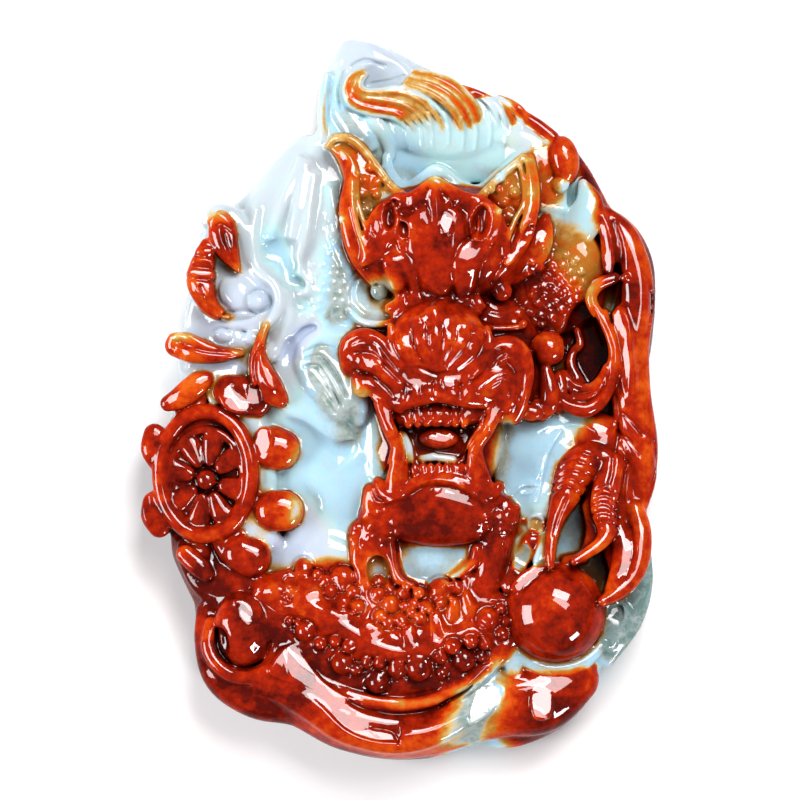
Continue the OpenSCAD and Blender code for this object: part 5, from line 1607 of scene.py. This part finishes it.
def clouding_group():
    """Soft clouds and fine veins that wander through the stone, as two masks."""
    group, inside, out = new_group(
        "Clouding",
        [("Vector", "NodeSocketVector", None), ("Cloud Scale", "NodeSocketFloat", 300.0),
         ("Vein Scale", "NodeSocketFloat", 900.0)],
        [("Clouds", "NodeSocketFloat"), ("Veins", "NodeSocketFloat"), ("Specks", "NodeSocketFloat")],
    )
    nodes, links = group.nodes, group.links
    cloud = nodes.new("ShaderNodeTexNoise")
    cloud.inputs["Detail"].default_value = 5
    cloud.inputs["Roughness"].default_value = 0.6
    cloud.inputs["Distortion"].default_value = 0.6
    links.new(inside.outputs["Vector"], cloud.inputs["Vector"])
    links.new(inside.outputs["Cloud Scale"], cloud.inputs["Scale"])
    links.new(cloud.outputs["Fac"], out.inputs["Clouds"])
    vein = nodes.new("ShaderNodeTexNoise")
    vein.inputs["Detail"].default_value = 3
    vein.inputs["Distortion"].default_value = 1.4
    links.new(inside.outputs["Vector"], vein.inputs["Vector"])
    links.new(inside.outputs["Vein Scale"], vein.inputs["Scale"])
    fold = reckon(nodes, links, "ABSOLUTE", reckon(nodes, links, "SUBTRACT", vein.outputs["Fac"], 0.5), 0)
    links.new(spread(nodes, links, fold, 0.0, 0.06, 1.0, 0.0), out.inputs["Veins"])
    grain = nodes.new("ShaderNodeTexNoise")
    grain.inputs["Scale"].default_value = 4200
    grain.inputs["Detail"].default_value = 2
    links.new(inside.outputs["Vector"], grain.inputs["Vector"])
    links.new(spread(nodes, links, grain.outputs["Fac"], 0.6, 0.75, 0.0, 1.0), out.inputs["Specks"])
    return group


def polish_group():
    """Low waves and fine hand polishing marks, as a height."""
    group, inside, out = new_group(
        "Polish Marks",
        [("Vector", "NodeSocketVector", None), ("Wave Scale", "NodeSocketFloat", 700.0),
         ("Mark Share", "NodeSocketFloat", 0.25)],
        [("Height", "NodeSocketFloat"), ("Dulling", "NodeSocketFloat")],
    )
    nodes, links = group.nodes, group.links
    wave = nodes.new("ShaderNodeTexNoise")
    wave.inputs["Detail"].default_value = 2
    links.new(inside.outputs["Vector"], wave.inputs["Vector"])
    links.new(inside.outputs["Wave Scale"], wave.inputs["Scale"])
    fine = noise(nodes, links, inside.outputs["Vector"], 3200, 3)
    marks = reckon(nodes, links, "MULTIPLY", fine, inside.outputs["Mark Share"])
    links.new(reckon(nodes, links, "ADD", wave.outputs["Fac"], marks), out.inputs["Height"])
    links.new(spread(nodes, links, fine, 0.45, 0.7, 0.0, 1.0), out.inputs["Dulling"])
    return group


def group_node(nodes, group, values):
    """A node that uses a group, with its inputs set by name."""
    node = nodes.new("ShaderNodeGroup")
    node.node_tree = group
    for name, value in values.items():
        node.inputs[name].default_value = value
    return node


def jade_material(colours, clouding, polish):
    """Two-colour jade under one clear polish: the corner masks lead the colours, the groups break them up."""
    mat = bpy.data.materials.new("polished_two_colour_jade")
    mat.use_nodes = True
    nodes, links = mat.node_tree.nodes, mat.node_tree.links
    nodes.clear()
    out = nodes.new("ShaderNodeOutputMaterial")
    shader = nodes.new("ShaderNodeBsdfPrincipled")
    links.new(shader.outputs["BSDF"], out.inputs["Surface"])
    place = nodes.new("ShaderNodeTexCoord").outputs["Object"]

    def attribute(name):
        """A mask at the mesh's corners."""
        node = nodes.new("ShaderNodeAttribute")
        node.attribute_name = name
        return node.outputs["Fac"]

    def times(a, b):
        """Two sockets or numbers multiplied."""
        return reckon(nodes, links, "MULTIPLY", a, b)

    skin, cool, hollow, crest, rim = (attribute(n) for n in ("skin", "cool", "hollow", "crest", "rim"))
    cloud = group_node(nodes, clouding, {"Cloud Scale": 260.0, "Vein Scale": 520.0})
    links.new(place, cloud.inputs["Vector"])
    patch = spread(nodes, links, cloud.outputs["Clouds"], 0.3, 0.7, -0.16, 0.16)
    mottle = spread(nodes, links, noise(nodes, links, place, 1100, 4, 0.65), 0.3, 0.7, -0.12, 0.12)
    patch = reckon(nodes, links, "ADD", patch, mottle)
    depth = reckon(nodes, links, "ADD", skin, times(patch, spread(nodes, links, skin, 0.1, 0.5, 0.25, 1.0)))
    # Crests take thinner, oranger skin: partly worn skin, partly a painted highlight
    depth = reckon(nodes, links, "SUBTRACT", depth, times(crest, 0.16))
    # Red walls at the block's outer edge turn towards maroon as painted shade
    depth = reckon(nodes, links, "ADD", depth, times(rim, spread(nodes, links, skin, 0.1, 0.5, 0.0, 0.26)))
    skin_colour = ramp(nodes, links, depth, [
        (0.0, colours["pale"]), (0.16, colours["cream"]), (0.34, colours["olive"]), (0.52, colours["orange"]),
        (0.74, colours["red"]), (1.0, colours["maroon"]),
    ])
    tone = reckon(nodes, links, "ADD", cool, times(patch, 0.3))
    pale_colour = ramp(nodes, links, tone, [
        (0.0, colours["lavender"]), (0.35, colours["pale"]), (0.62, colours["aqua"]), (0.84, colours["sky"]),
        (0.94, colours["mist"]), (1.0, colours["moss"]),
    ])
    share = spread(nodes, links, depth, 0.04, 0.2, 0.0, 1.0)
    body = blend(nodes, links, "MIX", share, pale_colour, skin_colour)
    veins = times(cloud.outputs["Veins"], spread(nodes, links, share, 0.0, 0.6, 0.3, 0.0))
    body = blend(nodes, links, "MIX", veins, body, colours["pale"])
    specks = times(cloud.outputs["Specks"], spread(nodes, links, share, 0.0, 1.0, 0.04, 0.3))
    body = blend(nodes, links, "MULTIPLY", specks, body, colours["orange"])
    # Painted shade: hollows are multiplied darker, towards the shadow colour on the skin and the moss colour
    # on the pale jade
    dark = times(hollow, spread(nodes, links, share, 0.0, 1.0, 0.22, 0.78))
    shade = blend(nodes, links, "MIX", share, colours["moss"], colours["shadow"])
    body = blend(nodes, links, "MULTIPLY", dark, body, shade)
    links.new(body, shader.inputs["Base Color"])
    marks = group_node(nodes, polish, {"Wave Scale": 650.0, "Mark Share": 0.12})
    links.new(place, marks.inputs["Vector"])
    gloss = spread(nodes, links, marks.outputs["Dulling"], 0.0, 1.0, 0.06, 0.13)
    links.new(reckon(nodes, links, "ADD", gloss, times(rim, 0.14)), shader.inputs["Roughness"])
    facing = nodes.new("ShaderNodeLayerWeight").outputs["Facing"]
    faced = spread(nodes, links, facing, 0.16, 0.3, 1.0, 0.05)
    coat = times(faced, spread(nodes, links, rim, 0.0, 1.0, 1.0, 0.5))
    links.new(coat, shader.inputs["Coat Weight"])
    bump = nodes.new("ShaderNodeBump")
    bump.inputs["Strength"].default_value = 0.075
    bump.inputs["Distance"].default_value = 0.0001
    links.new(marks.outputs["Height"], bump.inputs["Height"])
    links.new(bump.outputs["Normal"], shader.inputs["Normal"])
    shader.inputs["IOR"].default_value = 1.5
    shader.inputs["Specular IOR Level"].default_value = 0.04
    shader.inputs["Coat IOR"].default_value = 1.56
    shader.inputs["Subsurface Weight"].default_value = 0.22
    shader.inputs["Subsurface Radius"].default_value = (1.0, 0.45, 0.35)
    shader.inputs["Subsurface Scale"].default_value = 0.0007
    shader.inputs["Coat Roughness"].default_value = 0.03
    return mat


def floor_material(colour, polish):
    """Pale paper with a faint cloudiness."""
    mat = bpy.data.materials.new("pale_paper_floor")
    mat.use_nodes = True
    nodes, links = mat.node_tree.nodes, mat.node_tree.links
    shader = nodes["Principled BSDF"]
    place = nodes.new("ShaderNodeTexCoord").outputs["Object"]
    marks = group_node(nodes, polish, {"Wave Scale": 40.0, "Mark Share": 0.2})
    links.new(place, marks.inputs["Vector"])
    share = spread(nodes, links, marks.outputs["Height"], 0.3, 0.9, 0.0, 1.0)
    tint = blend(nodes, links, "MIX", share, tuple(colour), tuple(0.985 * c for c in colour))
    links.new(tint, shader.inputs["Base Color"])
    shader.inputs["Roughness"].default_value = 0.75
    return mat


def length(name, description, default, **limits):
    """A size in metres."""
    return FloatProperty(name=name, description=description, default=default, unit="LENGTH", **limits)


def share_of(name, description):
    """A share of a drawn width or size, 1 as it is drawn."""
    return FloatProperty(
        name=name, description=description, default=1.0, subtype="FACTOR", min=0.5, max=1.5
    )


def colour(name, description, default):
    """A colour in linear red, green and blue."""
    return FloatVectorProperty(
        name=name, description=description, default=default, size=3, min=0, max=1, subtype="COLOR"
    )


class PendantSizes(PropertyGroup):
    """Sizes of the carved pendant."""

    carving_step: length(
        "Carving step", "Width of the grid that the stone is carved on", 0.00011,
        min=0.00008, max=0.0005, precision=6,
    )
    triangles: IntProperty(
        name="Triangles", description="Most triangles that the carved stone keeps",
        default=196000, min=20000, max=200000,
    )
    block_thickness: length("Block thickness", "Thickness of the block under the carving", 0.005)
    edge_rounding: length("Edge rounding", "Rounding of the block's edge", 0.0013)
    pearl_diameter: length("Pearl diameter", "Diameter of the pearl under the hand", 0.009)
    rim_width: length("Wheel rim width", "Width of the wheel's rim", 0.0013)
    hub_diameter: length("Wheel hub diameter", "Diameter of the wheel's hub", 0.0018)
    wheel_petals: IntProperty(
        name="Wheel petals", description="Petals between the hub and the rim", default=8, min=5, max=12
    )
    mouth_depth: length("Mouth depth", "Depth of the open mouth below the lips", 0.0054)
    lock_share: share_of("Hair lock width", "Width of the hair locks beside their drawn width")
    whisker_share: share_of("Whisker width", "Width of the whisker beside its drawn width")
    tooth_share: share_of("Tooth width", "Width of the teeth beside their drawn width")
    eye_share: share_of("Eyeball size", "Size of the eyeballs beside their drawn size")
    bead_share: share_of("Bead size", "Size of the beads beside their drawn size")


class PendantColours(PropertyGroup):
    """Colours of the jade, of its painted hollow shade, and of the floor."""

    pale: colour("Pale jade", "Near-white jade under the skin", (0.47, 0.55, 0.59))
    lavender: colour("Lavender jade", "Lavender clouds in the pale jade", (0.42, 0.50, 0.66))
    aqua: colour("Aqua jade", "Blue-green clouds in the pale jade", (0.42, 0.64, 0.65))
    sky: colour("Sky jade", "Light blue ground of the deep hollows", (0.34, 0.57, 0.71))
    mist: colour("Misty jade", "Light grey-green of the cheek and the foot of the peak", (0.32, 0.38, 0.35))
    moss: colour("Moss jade", "Grey-green jade at the right edge", (0.13, 0.22, 0.21))
    cream: colour("Cream fringe", "Where the skin is thinnest", (0.60, 0.42, 0.14))
    olive: colour("Amber fringe", "Where the skin is thin", (0.40, 0.17, 0.02))
    orange: colour("Orange skin", "Skin on crests", (0.56, 0.072, 0.003))
    red: colour("Red skin", "Skin of the carved forms", (0.34, 0.014, 0.0013))
    maroon: colour("Maroon skin", "Skin where it is thickest", (0.085, 0.0035, 0.0015))
    # Painted shade that the hollow mask multiplies into the colours
    shadow: colour("Hollow shade", "Painted shade that darkens the hollows", (0.22, 0.11, 0.10))
    floor: colour("Floor", "Pale floor", (0.97, 0.97, 0.97))


# Height where forms take root in the block, as a share of its thickness
ROOT_SHARE = 0.3
# Share of the triangles that thinning leaves, before the walls' long edges are cut
KEPT_SHARE = 0.77
# Longest rise of an edge of the walls, in metres
LONGEST_UPRIGHT = 0.0008


class PENDANT_OT_carve(Operator):
    """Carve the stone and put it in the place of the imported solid"""

    bl_idname = "pendant.carve"
    bl_label = "Carve Stone"

    def execute(self, context):
        sizes = context.scene.pendant_sizes
        colours = context.scene.pendant_colours
        step = sizes.carving_step / MILLIMETRE * 1
        wide = (HIGH[0] - LOW[0]) / MILLIMETRE
        long = (HIGH[1] - LOW[1]) / MILLIMETRE
        tall = (HIGH[2] - LOW[2]) / MILLIMETRE
        face = sizes.block_thickness / MILLIMETRE
        low = [-wide / 2 - ROOM, -long / 2 - ROOM, -ROOM]
        high = [wide / 2 + ROOM, long / 2 + ROOM, tall + ROOM]
        column, row = wide / SPAN_COLUMNS, long / SPAN_ROWS
        stone = Stone(low, high, step, column, row, MIDDLE, face, tall - face, ROOT_SHARE * face)
        carve(stone, {
            "block": face, "edge": sizes.edge_rounding / MILLIMETRE, "lock": sizes.lock_share,
            "eye": sizes.eye_share, "mouth": sizes.mouth_depth / MILLIMETRE, "tooth": sizes.tooth_share,
            "whisker": sizes.whisker_share, "rim": sizes.rim_width / MILLIMETRE,
            "hub": sizes.hub_diameter / MILLIMETRE, "petals": sizes.wheel_petals,
            "pearl": sizes.pearl_diameter / MILLIMETRE, "bead": sizes.bead_share,
        })
        finish_surface(stone)
        points, faces = surface_of(stone)
        piece = mesh_object("carved_stone", points * MILLIMETRE, faces)
        thin_out(piece, KEPT_SHARE * sizes.triangles)
        split_walls(piece, LONGEST_UPRIGHT)
        tint_corners(piece, stone)
        clouding, polish = clouding_group(), polish_group()
        tones = {name: tuple(getattr(colours, name)) for name in colours.__annotations__}
        piece.data.materials.append(jade_material(tones, clouding, polish))
        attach(piece, "root")
        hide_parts(NODE)
        return {"FINISHED"}


def mesh_object(name, points, faces):
    """An object with a new mesh of equal-sided faces, in the scene."""
    mesh = bpy.data.meshes.new(name)
    mesh.vertices.add(len(points))
    mesh.vertices.foreach_set("co", points.astype(np.float32).ravel())
    mesh.loops.add(faces.size)
    mesh.loops.foreach_set("vertex_index", faces.astype(np.int32).ravel())
    mesh.polygons.add(len(faces))
    mesh.polygons.foreach_set("loop_start", np.arange(0, faces.size, faces.shape[1], dtype=np.int32))
    mesh.update(calc_edges=True)
    mesh.validate()
    piece = bpy.data.objects.new(name, mesh)
    bpy.context.scene.collection.objects.link(piece)
    return piece


def thin_out(piece, triangles):
    """Thins the mesh to the wanted count, most where the surface is flat."""
    count = 2 * len(piece.data.polygons)
    if count > triangles:
        thin = piece.modifiers.new("thin", "DECIMATE")
        thin.ratio = triangles / count
        thin.use_collapse_triangulate = True
    graph = bpy.context.evaluated_depsgraph_get()
    mesh = bpy.data.meshes.new_from_object(piece.evaluated_get(graph))
    piece.modifiers.clear()
    old = piece.data
    piece.data = mesh
    bpy.data.meshes.remove(old)
    mesh.name = piece.name
    mesh.shade_smooth()


def split_walls(piece, longest, rounds=4):
    """Cuts the long upright edges that thinning leaves, so that colours can fade with height."""
    form = bmesh.new()
    form.from_mesh(piece.data)
    for _ in range(rounds):
        upright = [e for e in form.edges if abs(e.verts[0].co.z - e.verts[1].co.z) > longest]
        bmesh.ops.subdivide_edges(form, edges=upright, cuts=1)
        bmesh.ops.triangulate(form, faces=form.faces[:])
    form.to_mesh(piece.data)
    form.free()


def tint_corners(piece, stone):
    """Writes the masks that the jade's colours follow: skin, cool, hollow, crest and rim, where hollow and
    rim are painted shade and crest is partly a painted highlight.
    """
    mesh = piece.data
    count = len(mesh.vertices)
    points = np.empty(count * 3)
    mesh.vertices.foreach_get("co", points)
    points = points.reshape(-1, 3) / MILLIMETRE
    edges = np.empty(len(mesh.edges) * 2, np.int32)
    mesh.edges.foreach_get("vertices", edges)
    masks = masks_of(stone, points, edges.reshape(-1, 2))
    for name, values in masks.items():
        layer = mesh.attributes.new(name, "FLOAT", "POINT")
        layer.data.foreach_set("value", np.clip(values, 0, 1).astype(np.float32))


# Each light: name, place, width and height, power, tint. Sizes in metres, power in watts.
LIGHTS = [
    ("large_box", (0.12, 0.30, 0.44), (0.30, 0.16), 2.6, (1.0, 0.98, 0.98)),
    ("left_box", (-0.46, -0.06, 0.27), (0.32, 0.24), 3.1, (1.0, 0.98, 0.99)),
    ("pale_card", (0.139, 0.185, 0.554), (0.34, 0.14), 1.5, (1.0, 0.93, 0.92)),
    ("low_box", (0.24, -0.30, 0.16), (0.12, 0.07), 0.8, (1.0, 0.97, 1.0)),
]
# Half width of the floor, the camera's distance, and the height that it looks at, in metres
FLOOR_HALF = 1.2
CAMERA_DISTANCE = 1.2
CAMERA_AIM = 0.005
# The sky's tint and strength
SKY = ((0.95, 0.97, 1.0, 1), 0.07)


def pale_sky(scene):
    """A faint even light from all round."""
    world = bpy.data.worlds.new("studio")
    world.use_nodes = True
    sky = world.node_tree.nodes["Background"]
    sky.inputs["Color"].default_value, sky.inputs["Strength"].default_value = SKY
    scene.world = world


def hang_light(scene, name, place, size, power, tint):
    """A soft box that faces the pendant."""
    lamp = bpy.data.lights.new(name, "AREA")
    lamp.shape = "RECTANGLE"
    lamp.size, lamp.size_y = size
    lamp.energy = power
    lamp.color = tint
    item = bpy.data.objects.new(name, lamp)
    item.location = place
    item.rotation_euler = (-Vector(place)).to_track_quat("-Z", "Y").to_euler()
    scene.collection.objects.link(item)


def aim_camera(scene):
    """A camera straight above, so that the pendant fills the same rows as in the photo."""
    camera = bpy.data.objects.new("camera", bpy.data.cameras.new("camera"))
    middle = Vector(((LOW[0] + HIGH[0]) / 2, (LOW[1] + HIGH[1]) / 2, CAMERA_AIM))
    row = (HIGH[1] - LOW[1]) / SPAN_ROWS
    camera.data.lens = camera.data.sensor_width * CAMERA_DISTANCE / (row * PICTURE)
    camera.data.clip_end = 20
    right, up = (PICTURE / 2 - MIDDLE[0]) * row, (MIDDLE[1] - PICTURE / 2) * row
    camera.location = middle + Vector((right, up, CAMERA_DISTANCE))
    scene.collection.objects.link(camera)
    scene.camera = camera
    scene.view_settings.view_transform = "Standard"


class PENDANT_OT_stage(Operator):
    """Lay the floor and set the lights and the camera"""

    bl_idname = "pendant.stage"
    bl_label = "Set Stage"

    def execute(self, context):
        scene = context.scene
        corners = [[-1, -1, 0], [1, -1, 0], [1, 1, 0], [-1, 1, 0]]
        floor = mesh_object("floor", FLOOR_HALF * np.array(corners), np.array([[0, 1, 2, 3]]))
        floor.data.materials.append(floor_material(tuple(scene.pendant_colours.floor), polish_group()))
        pale_sky(scene)
        for light in LIGHTS:
            hang_light(scene, *light)
        aim_camera(scene)
        return {"FINISHED"}


class PENDANT_PT_panel(Panel):
    """The pendant's sizes, colours and buttons in the sidebar"""

    bl_label = "Jade Pendant"
    bl_idname = "PENDANT_PT_panel"
    bl_space_type = "VIEW_3D"
    bl_region_type = "UI"
    bl_category = "Pendant"

    def draw(self, context):
        layout = self.layout
        for group in (context.scene.pendant_sizes, context.scene.pendant_colours):
            for name in group.__annotations__:
                layout.prop(group, name)
        layout.operator(PENDANT_OT_carve.bl_idname)
        layout.operator(PENDANT_OT_stage.bl_idname)


CLASSES = (PendantSizes, PendantColours, PENDANT_OT_carve, PENDANT_OT_stage, PENDANT_PT_panel)


def register():
    """Adds the classes and the scene's sizes and colours."""
    for item in CLASSES:
        bpy.utils.register_class(item)
    bpy.types.Scene.pendant_sizes = PointerProperty(type=PendantSizes)
    bpy.types.Scene.pendant_colours = PointerProperty(type=PendantColours)


def unregister():
    """Takes out what register added."""
    del bpy.types.Scene.pendant_colours
    del bpy.types.Scene.pendant_sizes
    for item in reversed(CLASSES):
        bpy.utils.unregister_class(item)


def main():
    """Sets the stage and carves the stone."""
    register()
    bpy.ops.pendant.stage()
    bpy.ops.pendant.carve()


if __name__ == "__main__":
    main()
